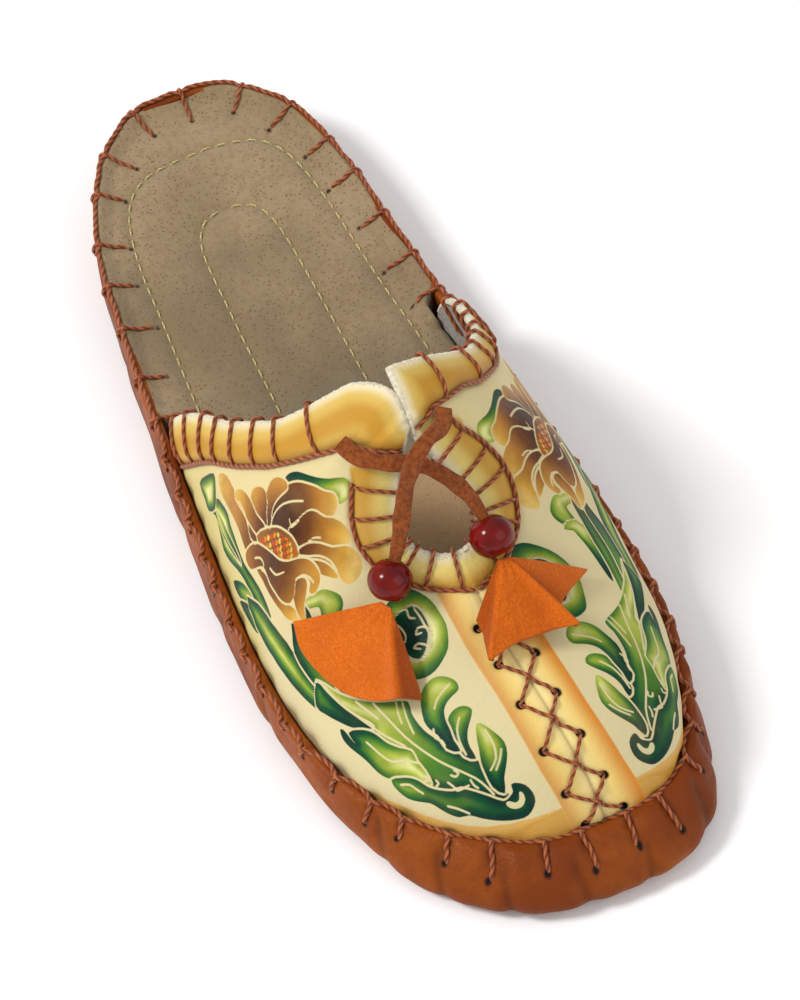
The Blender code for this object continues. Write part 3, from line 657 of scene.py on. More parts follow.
def make_thong(which):
    route = even(np.array(THONG_ROUTES[which]) * MM, 0.7 * MM)
    tangent, up, _ = frames_along(route, (0.5, 0, 1.0))
    level = np.ones(len(route))
    facing = unit(np.column_stack([0.55 * level, 14 * route[:, 1], 0.8 * level]))
    up = unit(facing - tangent * (facing * tangent).sum(1)[:, None])
    aside = np.cross(tangent, up)
    angle = 2 * math.pi * np.arange(FLAT_SIDES) / FLAT_SIDES
    across = np.sign(np.cos(angle)) * np.abs(np.cos(angle)) ** 0.5 * FLAT_WIDE * MM
    thick = np.sign(np.sin(angle)) * np.abs(np.sin(angle)) ** 0.6 * FLAT_THICK * MM
    travelled = np.linspace(0, 1, len(route))
    narrow = 1 - 0.28 * dome(travelled - travelled[-1] * 0.88, 0.14)
    wave = 1 + 0.06 * np.sin(travelled * 23) + 0.04 * np.sin(travelled * 51 + 1)
    ring = (route[:, None] + aside[:, None] * (across[None] * (narrow * wave)[:, None])[..., None]
            + up[:, None] * (thick[None] * (1 + 0.3 * (1 - narrow)[:, None]))[..., None])
    side, last = np.arange(len(route) - 1) * FLAT_SIDES, FLAT_SIDES - 1
    faces = grid_faces(len(route), FLAT_SIDES)
    faces += np.column_stack([side + last, side + FLAT_SIDES + last, side + FLAT_SIDES, side]).tolist()
    faces += end_caps(len(route), FLAT_SIDES)
    item = make_piece("thong_strip_" + which, ring.reshape(-1, 3), faces, THONG_NAP,
                      stands_for=("thong_" + which,))
    return item, route


thongs = {which: make_thong(which) for which in THONG_ROUTES}
print("thongs:", {k: round(run_length(v[1]) * 1000, 1) for k, v in thongs.items()}, "mm")

# %% [markdown]
# ## The rand and sole
# One piece of brown leather is drawn up round the insole and sewn at its edge, so it puckers between the stitches.
# The wall is swept round the outline, then pushed in at every stitch and out between them, more over the toe where
# there is more leather to gather.

# %% Places round the edge
def walk_edge(count):
    """Turns at even distances round the stitched edge, counter-clockwise from the toe."""
    fine = 2 * math.pi * np.linspace(0, 1, 24001)
    x, y = edge_point(fine, np.where(fine <= math.pi, 1.0, -1.0))
    length = np.r_[0, np.cumsum(np.hypot(np.diff(x), np.diff(y)))]
    return np.interp(length[-1] * np.arange(count) / count, length, fine), length[-1]


RING = 960
RING_TURNS, EDGE_RUN = walk_edge(RING)
RING_SIDE = np.where(RING_TURNS <= math.pi, 1.0, -1.0)
RING_ALONG = np.cos(RING_TURNS)
RING_PLAN = np.column_stack(edge_point(RING_TURNS, RING_SIDE))
ring_tangent = np.roll(RING_PLAN, -2, 0) - np.roll(RING_PLAN, 2, 0)
ring_tangent = unit(ring_tangent + np.roll(ring_tangent, 2, 0) + np.roll(ring_tangent, -2, 0))
RING_OUT = np.column_stack([ring_tangent[:, 1], -ring_tangent[:, 0]])
RING_PLACE = EDGE_RUN * np.arange(RING) / RING
RING_PLACE = np.where(RING_PLACE > EDGE_RUN / 2, RING_PLACE - EDGE_RUN, RING_PLACE)
RING_WING = np.where(RING_SIDE > 0, wing_end(1), wing_end(-1))
print("stitched edge:", round(EDGE_RUN * 1000), "mm round")


def wall(offset, share, rise=0.0, inset=0.0):
    share = np.clip(share + rise / (edge_height(RING_ALONG) - ground(RING_ALONG)), 0, 1)
    out, height = rand_profile(RING_ALONG, RING_SIDE, share, offset)
    return np.column_stack([RING_PLAN + RING_OUT * (out - inset)[:, None], height])


def edge_gap(place, spot):
    """Distance along the edge between places, the short way round."""
    gap = np.abs(place - spot)
    return np.minimum(gap, EDGE_RUN - gap)


# %% Where the edge is stitched
UNDER_VAMP = RING_ALONG > RING_WING
STITCH_NUDGE = (0.4, -0.9, 0.7, 0.0, -0.5, 1.0, -0.6, 0.3, 0.8, -0.8, 0.2, -0.3, 0.9, -0.4)
STITCH_REACH = (4.0, 4.9, 3.4, 4.5, 3.8, 5.0, 3.5)
HEEL_REACH = (7.0, 7.8, 6.4, 7.4, 6.6, 8.0, 6.2)
OUTER_START, OUTER_FADE = 62 * MM, 18 * MM  # from here back, on the right side, the purl moves out over the lip


def hand(values, k):
    """The unevenness of a hand, in mm, taken in turn from a short list."""
    return values[k % len(values)] * MM


FORE_HALF, FORE_STEP = 17, 9.9 * MM  # stitches to a side under the vamp; those round the heel stand wider apart
HEEL_RUN = EDGE_RUN - 2 * FORE_HALF * FORE_STEP
HEEL_COUNT = round(HEEL_RUN / (14.4 * MM))
HEEL_STEP = HEEL_RUN / HEEL_COUNT
STITCHES = [(k + 0.5) * FORE_STEP + hand(STITCH_NUDGE, k) for k in range(-FORE_HALF, FORE_HALF)]
STITCHES += [FORE_HALF * FORE_STEP + HEEL_RUN * (k + 0.5) / HEEL_COUNT + hand(STITCH_NUDGE, k + 5)
             for k in range(HEEL_COUNT)]
STITCHES = sorted((spot + EDGE_RUN / 2) % EDGE_RUN - EDGE_RUN / 2 for spot in STITCHES)


def leg_reach(k):
    """How far down the wall a leg runs. On the right side the purl lies farther out and the legs are short."""
    return hand(STITCH_REACH, k) * (1 - 0.3 * float(ease((-STITCHES[k] - OUTER_START) / OUTER_FADE)))


def at_place(place):
    return int(round((place % EDGE_RUN) / EDGE_RUN * RING)) % RING


print(len(STITCHES), "stitches,", round(FORE_STEP / MM, 1), "mm apart under the vamp and",
      round(HEEL_STEP / MM, 1), "mm round the heel")

# %% The wall, its puckers and its creases
CREASES = (  # place from the toe (+ is left), depth, width, from and to below the lip, slant; all in mm
    (-8, 0.9, 1.6, 3, 13, 2), (6, 0.7, 1.4, 4, 12, -2), (19, 0.9, 1.5, 3, 13, -4), (-21, 0.8, 1.5, 3, 12, 3),
    (-35, 0.7, 1.5, 3, 11, 3), (31, 0.6, 1.5, 3, 11, -3), (45, 0.6, 1.6, 2, 10, -4), (-49, 0.6, 1.6, 2, 11, 4),
    (-92, 0.6, 2.2, 5, 13, 6), (-120, 0.5, 2.4, 4, 12, -5), (96, 0.6, 2.4, 4, 12, -6), (-152, 0.5, 2.4, 4, 13, 5),
    (150, 0.5, 2.4, 4, 12, 5), (205, 0.5, 2.6, 5, 13, -5), (-205, 0.5, 2.6, 5, 13, 6), (250, 0.4, 2.6, 5, 13, 4),
)
HALF_WALL, LIP_ROUND = RAND_WALL / 2, 0.8 * MM


def wall_rows():
    """Rings of the rand from the sole's rim up, over the lip and down inside, with each ring's depth below the lip."""
    tall = edge_height(RING_ALONG) - ground(RING_ALONG)
    rings, below = [], []
    for k in range(9):
        angle = k * math.pi / 16
        rings.append(wall(HALF_WALL, 0, FOOT_ROUND * (1 - math.cos(angle)), FOOT_ROUND * (1 - math.sin(angle))))
        below.append(tall - FOOT_ROUND * (1 - math.cos(angle)))
    for k in range(1, 21):
        low = FOOT_ROUND / tall
        share = low + (1 - LIP_ROUND / tall - low) * k / 20
        rings.append(wall(HALF_WALL, share))
        below.append(tall * (1 - share))
    for start in (0, 1):
        for k in range(1, 5):
            angle = (k + 4 * start) * math.pi / 8
            offset = (HALF_WALL - LIP_ROUND) * (1 if k + 4 * start < 4 else -1 if k + 4 * start > 4 else 0)
            rings.append(wall(offset + LIP_ROUND * math.cos(angle), 1, LIP_ROUND * (math.sin(angle) - 1)))
            below.append(np.zeros(RING))
    for share in (0.8, 0.55, 0.3):
        rings.append(wall(-HALF_WALL, share))
        below.append(-np.ones(RING))
    rings.append(wall(-HALF_WALL, 0, SOLE_THICK))
    below.append(-np.ones(RING))
    return np.stack(rings, 1), np.stack(below, 1)


def pucker(below):
    """How far the wall stands out, and how much painted shade each point gets in the troughs and creases."""
    place = RING_PLACE[:, None]
    toe = dome(place, 78 * MM)
    depth = np.where(below < 0, 0, below)
    shown = (below > 0.2 * MM) * ease(below / (1.2 * MM))
    out = np.zeros_like(below)
    painted_shade = np.zeros_like(below)
    for k, spot in enumerate(STITCHES):
        reach = leg_reach(k)
        gap = edge_gap(place, spot)
        trough = dome(gap, 1.5 * MM) * (1 - ease(depth / (reach * 1.25)))
        out -= trough * (0.20 + 0.60 * toe) * MM
        # painted shade in the trough at each stitch
        painted_shade += trough * (0.25 + 0.25 * toe)
        out += dome(gap - 6 * MM, 3.2 * MM) * (0.05 + 0.38 * toe) * MM * (1 - ease(depth / (11 * MM)))
    for spot, deep, wide, start, end, slant in CREASES:
        middle = (start + end) / 2 * MM
        centre = spot * MM + slant * MM * (depth - middle) / (10 * MM)
        run = ease((depth - (start - 2) * MM) / (2.5 * MM)) * (1 - ease((depth - end * MM) / (3 * MM)))
        gap = edge_gap(place, centre)
        out += (dome(gap - 2.4 * wide * MM, wide * 1.3 * MM) * 0.35 - dome(gap, wide * MM)) * deep * 0.6 * MM * run
        # painted shade in each crease
        painted_shade += dome(gap, wide * 0.8 * MM) * run * 0.4
    out += 0.18 * MM * np.sin(place / (7.3 * MM)) * np.sin(depth / (4.1 * MM) + place / (19 * MM))
    return out * shown, painted_shade * (below >= 0)


def make_rand():
    grid, below = wall_rows()
    out, painted_shade = pucker(below)
    normal = grid_normals(np.concatenate([grid[-3:], grid, grid[:3]]))[3:-3]
    outward = np.concatenate([RING_OUT, np.zeros((RING, 1))], 1)
    if (normal[:, 12] * outward).sum() < 0:
        normal = -normal
    grid = grid + normal * out[..., None]
    # A dark dot at the foot of each leg: painted shade of its hole.
    hole = np.zeros(below.shape)
    for k, spot in enumerate(STITCHES):
        if UNDER_VAMP[at_place(spot)]:
            reach = leg_reach(k)
            hole += dome(np.hypot(edge_gap(RING_PLACE[:, None], spot), below - reach), 0.8 * MM)
    rows = grid.shape[1]
    points = list(grid.reshape(-1, 3))
    faces = grid_faces(RING, rows, closed=True)
    carried = {"painted_shade": list(painted_shade.ravel()), "pinhole_shade": list(hole.ravel())}
    for row, up in ((0, False), (rows - 1, True)):  # the sole's underside and the floor inside
        first = len(points)
        left, right = grid[: RING // 2 + 1, row], np.roll(grid[::-1, row], 1, 0)[: RING // 2 + 1]
        across = np.linspace(0, 1, 25)[None, :, None]
        floor = right[:, None] * (1 - across) + left[:, None] * across
        points += list(floor.reshape(-1, 3))
        faces += grid_faces(RING // 2 + 1, floor.shape[1], first, flip=up)
        for values in carried.values():
            values += [0.0] * (floor.size // 3)
    return make_piece("rand_and_sole", points, faces, RAND_LEATHER, carried, stands_for=("sole",),
                      join=0.02 * MM)


rand = make_rand()
rand_skin = Skin(rand)
print("rand and sole:", len(rand.data.polygons), "faces")

# %% [markdown]
# ## The insole
# Split suede over a thin foam, quilted with two long ovals of pale thread. The quilting pulls the suede down in soft
# channels, and the foam rises a little between them.

# %% Quilting lines
def insole_edge(inset):
    under = ease((RING_ALONG - RING_WING + INSOLE_STEP_BACK) / INSOLE_STEP_LENGTH)
    inward = RAND_WALL / 2 + RAND_FIT + (UPPER_WALL + HEM_SLACK + RAND_FIT) * under + inset
    inward -= 2.0 * MM * (1 - under)
    return RING_PLAN - RING_OUT * inward[:, None]


def insole_height(x):
    along = np.clip(x / EDGE_HALF, -1, 1)
    return edge_height(along) - INSOLE_DROP_HEEL + (INSOLE_DROP_HEEL - INSOLE_DROP_TOE) * (1 + along) / 2


OUTER_QUILT = (  # the outer oval: along the shoe, then the right and the left line; mm
    (-104, -2.0, 8.0), (-101, -13.0, 18.0), (-92, -20.5, 23.5), (-75, -24.5, 26.0), (-50, -26.5, 27.0),
    (-20, -29.0, 29.0), (10, -31.0, 31.5), (40, -32.0, 33.5), (70, -29.0, 33.5), (92, -19.0, 27.5), (101, -6.0, 14.0),
)
INNER_QUILT = (
    (-84, 0.5, 4.5), (-81, -5.0, 9.5), (-72, -8.5, 12.0), (-50, -9.8, 12.2), (-20, -10.8, 12.0),
    (-4, -11.2, 12.2), (4, -9.0, 10.0), (8, -3.0, 4.5),
)


def quilt_line(rows):
    right = [(x, r) for x, r, _ in rows]
    left = [(x, l) for x, _, l in rows][::-1]
    return even(np.array([*right, *left, right[0]]) * MM, 1.0 * MM)


QUILTS = [quilt_line(rows) for rows in (OUTER_QUILT, INNER_QUILT)]


def gap_to_line(points, line):
    """Distance in plan from each point to a line of close points."""
    best = np.full(len(points), 1e3)
    for start in range(0, len(line), 60):
        piece = line[start : start + 60]
        best = np.minimum(best, np.sqrt(((points[:, None, :2] - piece[None, :, :2]) ** 2).sum(-1)).min(1))
    return best


# %% The quilted suede
def make_insole():
    columns, across = 340, 120
    turns = np.arccos(np.clip(np.cos(np.linspace(0, math.pi, columns)), -1, 1))
    rim = insole_edge(0)
    order = np.argsort(RING_TURNS)
    left = np.column_stack([np.interp(turns, RING_TURNS[order], rim[order, k]) for k in (0, 1)])
    right = np.column_stack([np.interp(2 * math.pi - turns, RING_TURNS[order], rim[order, k]) for k in (0, 1)])
    right[0] = left[0]
    share = (1 - np.cos(math.pi * np.linspace(0, 1, across))) / 2 * 0.55 + np.linspace(0, 1, across) * 0.45
    plan = right[:, None] * (1 - share[None, :, None]) + left[:, None] * share[None, :, None]
    flat = plan.reshape(-1, 2)
    from_rim = gap_to_line(flat, rim)
    height = insole_height(flat[:, 0]) - INSOLE_DISH * np.sin(math.pi * np.tile(share, columns))
    edge = np.clip(1 - from_rim / INSOLE_EDGE, 0, 1)
    offset = flat[:, None] - RING_PLAN[None, ::12]
    near = RING_ALONG[np.argmin(np.hypot(offset[..., 0], offset[..., 1]), 1) * 12]
    height += 1.9 * MM * (1 - ease(from_rim / (4.5 * MM))) * ease((-0.20 - near) / 0.04)
    height -= INSOLE_EDGE * (1 - np.sqrt(1 - edge**2))
    # Painted shade in the quilted channels.
    painted_shade = np.zeros(len(flat))
    for line in QUILTS:
        gap = gap_to_line(flat, line)
        height -= 0.75 * MM * dome(gap, 1.5 * MM)
        height += 0.30 * MM * dome(gap - 5 * MM, 3.6 * MM)
        painted_shade += 0.5 * dome(gap, 1.0 * MM)
    height += 0.22 * MM * (np.sin(flat[:, 0] * 190 + 3 * np.sin(flat[:, 1] * 120)) * np.sin(flat[:, 1] * 210 + 1))
    height -= 0.9 * MM * dome(np.hypot((flat[:, 0] + 0.082) / 1.3, flat[:, 1] - 0.002), 22 * MM)  # the heel's hollow
    height -= 0.5 * MM * dome(np.hypot((flat[:, 0] - 0.055) / 1.6, flat[:, 1]), 26 * MM)
    # A dark dot at the foot of each heel leg: painted shade of its hole.
    hole = np.zeros(len(flat))
    for k, spot in enumerate(STITCHES):
        i = at_place(spot)
        if not UNDER_VAMP[i]:
            foot = RING_PLAN[i] - RING_OUT[i] * (HALF_WALL + hand(HEEL_REACH, k) - 1.0 * MM)
            gap = np.hypot(*(flat - foot).T)
            hole += dome(gap, 0.8 * MM)
            height -= 0.4 * MM * dome(gap, 1.6 * MM)
    # Painted shade on the insole under the back of the vamp, at the throat.
    throat_shade = ease((flat[:, 0] + 0.045) / 0.06) * (1 - ease((flat[:, 0] - 0.002) / 0.012))
    # Lighter towards the toe.
    lighter_forward = ease((flat[:, 0] - 0.006) / 0.012)
    points = np.column_stack([flat, height])
    faces = grid_faces(columns, across)
    first = len(points)  # a skirt down to the sole
    border = list(range(0, columns * across, across)) + list(range((columns - 1) * across, columns * across))
    border += list(range(columns * across - 1, 0, -across)) + list(range(across - 1, -1, -1))
    skirt = [[*flat[k], ground(np.clip(flat[k, 0] / EDGE_HALF, -1, 1)) + SOLE_THICK + 0.3 * MM] for k in border]
    for k in range(len(border)):
        n = (k + 1) % len(border)
        faces.append((border[k], border[n], first + n, first + k))
    carried = {name: [*values, *[0.0] * len(border)]
               for name, values in (("painted_shade", painted_shade), ("pinhole_shade", hole), ("throat_shade", throat_shade), ("lighter_forward", lighter_forward))}
    item = make_piece("quilted_insole", [*points, *skirt], faces, INSOLE_NAP, carried,
                      stands_for=("insole",), join=0.01 * MM)
    turn_outward(item, top=11 * MM)
    return item


insole = make_insole()
insole_skin = Skin(insole)
print("insole:", len(insole.data.polygons), "faces")

# %% [markdown]
# ## The two halves of the vamp
# Each half is a sheet that starts inside the rand, rises over the foot and ends in an ear, half of the keyhole and
# the laced seam. The sheet is dense, because the painting rides on its points as numbers.

# %% The sheet of a half vamp
def inner_at(step, side):
    """The half's inner edge: its ear, then the keyhole, then the seam, as turn and sideways share."""
    step = np.asarray(step, float)
    gap = SLIT_GAP / 2 / SIDE_HALF
    ear = np.clip(step / EAR_STEPS, 0, 1)
    ear_along = SLIT_TOP + (KEYHOLE_TOP - SLIT_TOP) * ear
    ear_side = gap + (LOBE_ROUND * (1 - ear) ** 2 if side < 0 else 0 * ear)
    share = (1 - np.cos(math.pi * np.clip((step - EAR_STEPS) / KEYHOLE_STEPS, 0, 1))) / 2
    wide = KEYHOLE_WIDTH / 2 * np.clip(np.sin(math.pi * share**1.3), 0, 1) ** 0.6
    key_along = KEYHOLE_TOP + (KEYHOLE_FOOT - KEYHOLE_TOP) * share
    cut = np.arcsin(wide / (SIDE_HALF * (1 + 0.05 * side))) * 2 / math.pi
    key_side = np.maximum(gap * (1 - ease((share - 0.9) / 0.1)), cut)
    seam_turn = math.acos(KEYHOLE_FOOT) * (1 - np.clip((step - SEAM_START) / SEAM_STEPS, 0, 1))
    in_ear, before_seam = step < EAR_STEPS, step < SEAM_START
    turn = np.where(in_ear, np.arccos(ear_along), np.where(before_seam, np.arccos(key_along), seam_turn))
    return turn, np.where(in_ear, ear_side, np.where(before_seam, key_side, 0.0))


def sheet_places(side, steps, rows):
    """Turn and sideways share at each point of the half's grid."""
    turn, sideways = inner_at(steps, side)
    wing, last = math.acos(wing_end(side)), math.acos(KEYHOLE_FOOT)
    seam_foot = last * SEAM_FAN
    edge_turn = np.where(steps <= SEAM_START, wing + (seam_foot - wing) * steps / SEAM_START, seam_foot * turn / last)
    fade = np.clip(1 - steps / SEAM_START, 0, None)[:, None] ** 1.5
    b = rows[None]
    spot_turn = (1 - b) * edge_turn[:, None] + b * turn[:, None]
    spot_side = (1 - b) + b * sideways[:, None]
    first_turn, first_side = (float(v) for v in inner_at(0.0, side))
    at_collar = (1 - b) + b * first_side
    straight = (1 - b) * wing + b * first_turn
    extra = LEFT_WING_EXTRA * ease((at_collar - 0.6) / 0.4) if side > 0 else 0.0
    along = smooth(COLLAR, COLLAR_COLUMNS, "along", at_collar) - extra
    return spot_turn + (np.arccos(along) - straight) * fade, spot_side, edge_turn


def hem_row(turn, side, depth):
    """A row of the margin that is tucked inside the rand."""
    x1, y1 = edge_point(turn + 0.002, side)
    x, y = edge_point(turn, side)
    tangent = unit(np.column_stack([x1 - x, y1 - y]))
    outward = side * np.column_stack([tangent[:, 1], -tangent[:, 0]])
    along = np.cos(turn)
    share = 1 - depth / (edge_height(along) - ground(along))
    out, height = rand_profile(along, side, share, -RAND_WALL / 2 - RAND_FIT - HEM_SLACK * depth / HEM_DEPTH)
    return np.column_stack([x + outward[:, 0] * out, y + outward[:, 1] * out, height])


def steps_of(ear, keyhole, seam):
    return np.r_[np.linspace(0, EAR_STEPS, ear, endpoint=False),
                 np.linspace(EAR_STEPS, SEAM_START, keyhole, endpoint=False),
                 np.linspace(SEAM_START, SEAM_START + SEAM_STEPS, seam)]


# %% [markdown]
# ## Charting the leather
# To paint a curved sheet, each point gets two numbers like a map: how far up the ridge it lies from the toe, and how
# far out from the ridge. Both are measured along the leather, in millimetres, and both halves share the chart.

# %% The chart
CHART_TURNS = np.linspace(0, math.acos(-0.48), 420)
CHART_SHARES = np.linspace(0, 1, 181)
RIDGE_RUN = np.r_[0, np.cumsum(np.linalg.norm(np.diff(vamp(CHART_TURNS, 0.0), axis=0), axis=1))] / MM


def side_runs(side):
    table = vamp(CHART_TURNS[:, None], side * np.maximum(CHART_SHARES, 1e-6)[None])
    step = np.linalg.norm(np.diff(table, axis=1), axis=2)
    return np.concatenate([np.zeros((len(CHART_TURNS), 1)), np.cumsum(step, 1)], 1) / MM


SIDE_RUN = {side: side_runs(side) for side in (RIGHT, LEFT)}


def chart_of(turn, share, side):
    """Chart numbers of places on the vamp."""
    up = np.interp(turn, CHART_TURNS, RIDGE_RUN)
    i = np.clip(turn / CHART_TURNS[1], 0, len(CHART_TURNS) - 1.001)
    j = np.clip(share / CHART_SHARES[1], 0, len(CHART_SHARES) - 1.001)
    i0, j0 = i.astype(int), j.astype(int)
    u, v = i - i0, j - j0
    t = SIDE_RUN[side]
    out = (t[i0, j0] * (1 - u) * (1 - v) + t[i0 + 1, j0] * u * (1 - v) + t[i0, j0 + 1] * (1 - u) * v
           + t[i0 + 1, j0 + 1] * u * v)
    return up, out


def on_vamp(spots, side, lift=0.0):
    """Points of the vamp at chart numbers."""
    spots = np.asarray(spots, float)
    turn = np.interp(spots[:, 0], RIDGE_RUN, CHART_TURNS)
    places = []
    for t, out in zip(turn, spots[:, 1]):
        i = min(int(t / CHART_TURNS[1]), len(CHART_TURNS) - 2)
        u = t / CHART_TURNS[1] - i
        row = SIDE_RUN[side][i] * (1 - u) + SIDE_RUN[side][i + 1] * u
        places.append(side * max(1e-6, float(np.interp(out, row, CHART_SHARES))))
    return vamp(turn, np.array(places), np.full(len(turn), lift) if lift else 0.0)


print("the ridge runs", round(RIDGE_RUN[-1]), "mm from the toe")

# %% [markdown]
# ## The painted ornament
# The leather is dyed in the resist manner: each petal and leaf is brushed from dark to light, and thin lines keep
# the cream of the hide. The outlines below were noted point by point on the chart, as pairs of up and out. A flower
# opens beside the keyhole, and an acanthus leaf runs down to the toe. Both halves carry the same drawing, mirrored.

# %% Outlines of the flower
FLOWER = {
        "petal_crown": [(117, 50.5), (119.3, 50.2), (120.2, 48.2), (120.4, 45.5), (119.6, 42.1), (118.6, 39.1),
        (116.7, 36.1), (114.3, 33.6), (111.1, 30.7), (108, 28.2), (105.2, 25.4), (102.8, 24.5), (101.2, 25.1), (100.9,
        26.6), (102.7, 29), (105.8, 31.3), (108.2, 34.1), (109.5, 37), (109.8, 39.6), (110.6, 41.7), (112.4, 45.3),
        (114.6, 47.8)],
        "petal_right": [(110.6, 42.5), (109.7, 39.6), (109.2, 37), (107.9, 34.2), (105.4, 31.8), (102.1, 29.5), (99.6,
        26.8), (96.5, 24.4), (93.4, 23), (91.4, 22.9), (90.5, 23.9), (91.3, 26), (94, 28.8), (97, 31.7), (100.4,
        35.6), (103.7, 40.9), (107.3, 42.4), (110.4, 43.8)],
        "petal_low": [(103.1, 40.6), (100.5, 36.2), (97.1, 32.2), (93, 28.5), (90.4, 24.8), (88, 22.9), (84.9, 21.9),
        (82.5, 22.2), (81.5, 23.9), (81.8, 25.8), (83.8, 27.2), (86.1, 27.6), (89.1, 28.7), (92.4, 30.7), (95.6,
        33.7), (98.5, 37.2), (101.6, 40.4)],
        "petal_small": [(97.9, 37.3), (95.6, 34.3), (92.4, 31.2), (89.8, 29.4), (87.2, 28.5), (85.5, 28.4), (88.2,
        30.9), (91.1, 33.4), (94.4, 35.1)],
        "petal_top": [(117.7, 50.9), (120.8, 51.2), (123.2, 49.2), (124.2, 46.4), (124.1, 44.1), (122.8, 41.9),
        (120.5, 40.1), (119.2, 39.9), (119.8, 42), (120.5, 45.1), (120.4, 47.6), (119.4, 49.4)],
        "petal_bud": [(121.6, 54.4), (125.2, 55.1), (127.7, 54.9), (128.9, 53.6), (128.3, 51.5), (126.4, 49.4),
        (124.7, 48.7), (122.8, 49.6), (121.3, 51.3), (119.7, 52.1)],
        "petal_spike": [(121, 56.9), (125.9, 58.7), (129.6, 59.4), (133.1, 60.2), (134.5, 59.8), (133, 57.5), (129.8,
        56), (126.7, 55.6), (123.9, 55.3), (120.2, 53.6), (118.7, 53.8)],
        "petal_side": [(143.3, 63.6), (140.2, 60.9), (137, 60.5), (133.1, 60.2), (129.2, 59.8), (125.5, 59.1), (121.3,
        57.6), (120.5, 59.5), (122.2, 63.8), (124.6, 64.4), (127.5, 64.2), (131.6, 64.5), (136.4, 65.3), (140.7,
        65.7)],
        "lip": [(120.1, 59.9), (121.9, 64.1), (121.2, 65.7), (118.4, 64.8), (116.3, 61.3), (114.2, 58.5), (111.5,
        57.4), (107.8, 55.7), (102.5, 52.4), (97.1, 49.2), (93.7, 46), (94.6, 44.3), (96.7, 43.6), (97.1, 41.9),
        (95.8, 39.5), (93.5, 37.7), (91.1, 36.9), (89.5, 37.8), (88.1, 36.2), (89.1, 34.5), (91.3, 34.3), (94.6,
        35.6), (97.8, 37.9), (100.7, 41.2), (104, 45.8), (108, 50), (112.6, 53.6), (116.5, 56.6)],
        "tail_right": [(96.3, 43.3), (95.8, 41.5), (93.7, 39.4), (91.8, 39.2), (89.6, 40.4), (87.8, 41.6), (84.8,
        41.8), (88.5, 43.3), (92.6, 44)],
        "tail_left": [(115.7, 61.9), (111.9, 59.3), (106, 55.8), (99.7, 52), (94.4, 48.2), (89.9, 45), (85.2, 42.3),
        (90.1, 47.4), (95.4, 50.4), (102.2, 54.5), (109.7, 59.2)],
        "eye": [(120.4, 57.4), (118.4, 53.1), (115.1, 48.4), (111.9, 45.6), (108.4, 43.1), (103.9, 41.2), (102, 41.5),
        (104.5, 45.9), (108.5, 49.7), (113, 53.4), (116.7, 56.4)],
        "vein_crown": [(117.4, 51.1), (118.2, 48.8), (118.3, 46.3), (117.3, 43), (115, 39.2), (112.4, 35.9)],
        "vein_curl": [(113, 42.3), (111.3, 42.4), (110.4, 41.2), (109.8, 38.9)],
        "vein_spike": [(132.4, 59.9), (128.5, 59.5), (125.6, 60.1), (122.7, 60.8), (120.1, 59.4)],
        "vein_right": [(103.7, 40.9), (102, 37.2), (101, 34.2), (98.6, 31.3)],
        "vein_low": [(101.6, 40.4), (98, 36.6), (94.9, 32.8), (90.9, 29.6), (87, 28.3)],
        "vein_curl2": [(118.3, 61.7), (116.2, 59), (113.9, 58.3), (113.8, 60)],
        "vein_smile": [(111, 55.5), (106.4, 52.1), (103.2, 47.4)],
        "vein_hook": [(96.9, 42.7), (95.5, 39.7), (92.7, 37.3), (90.3, 36.2)],
}

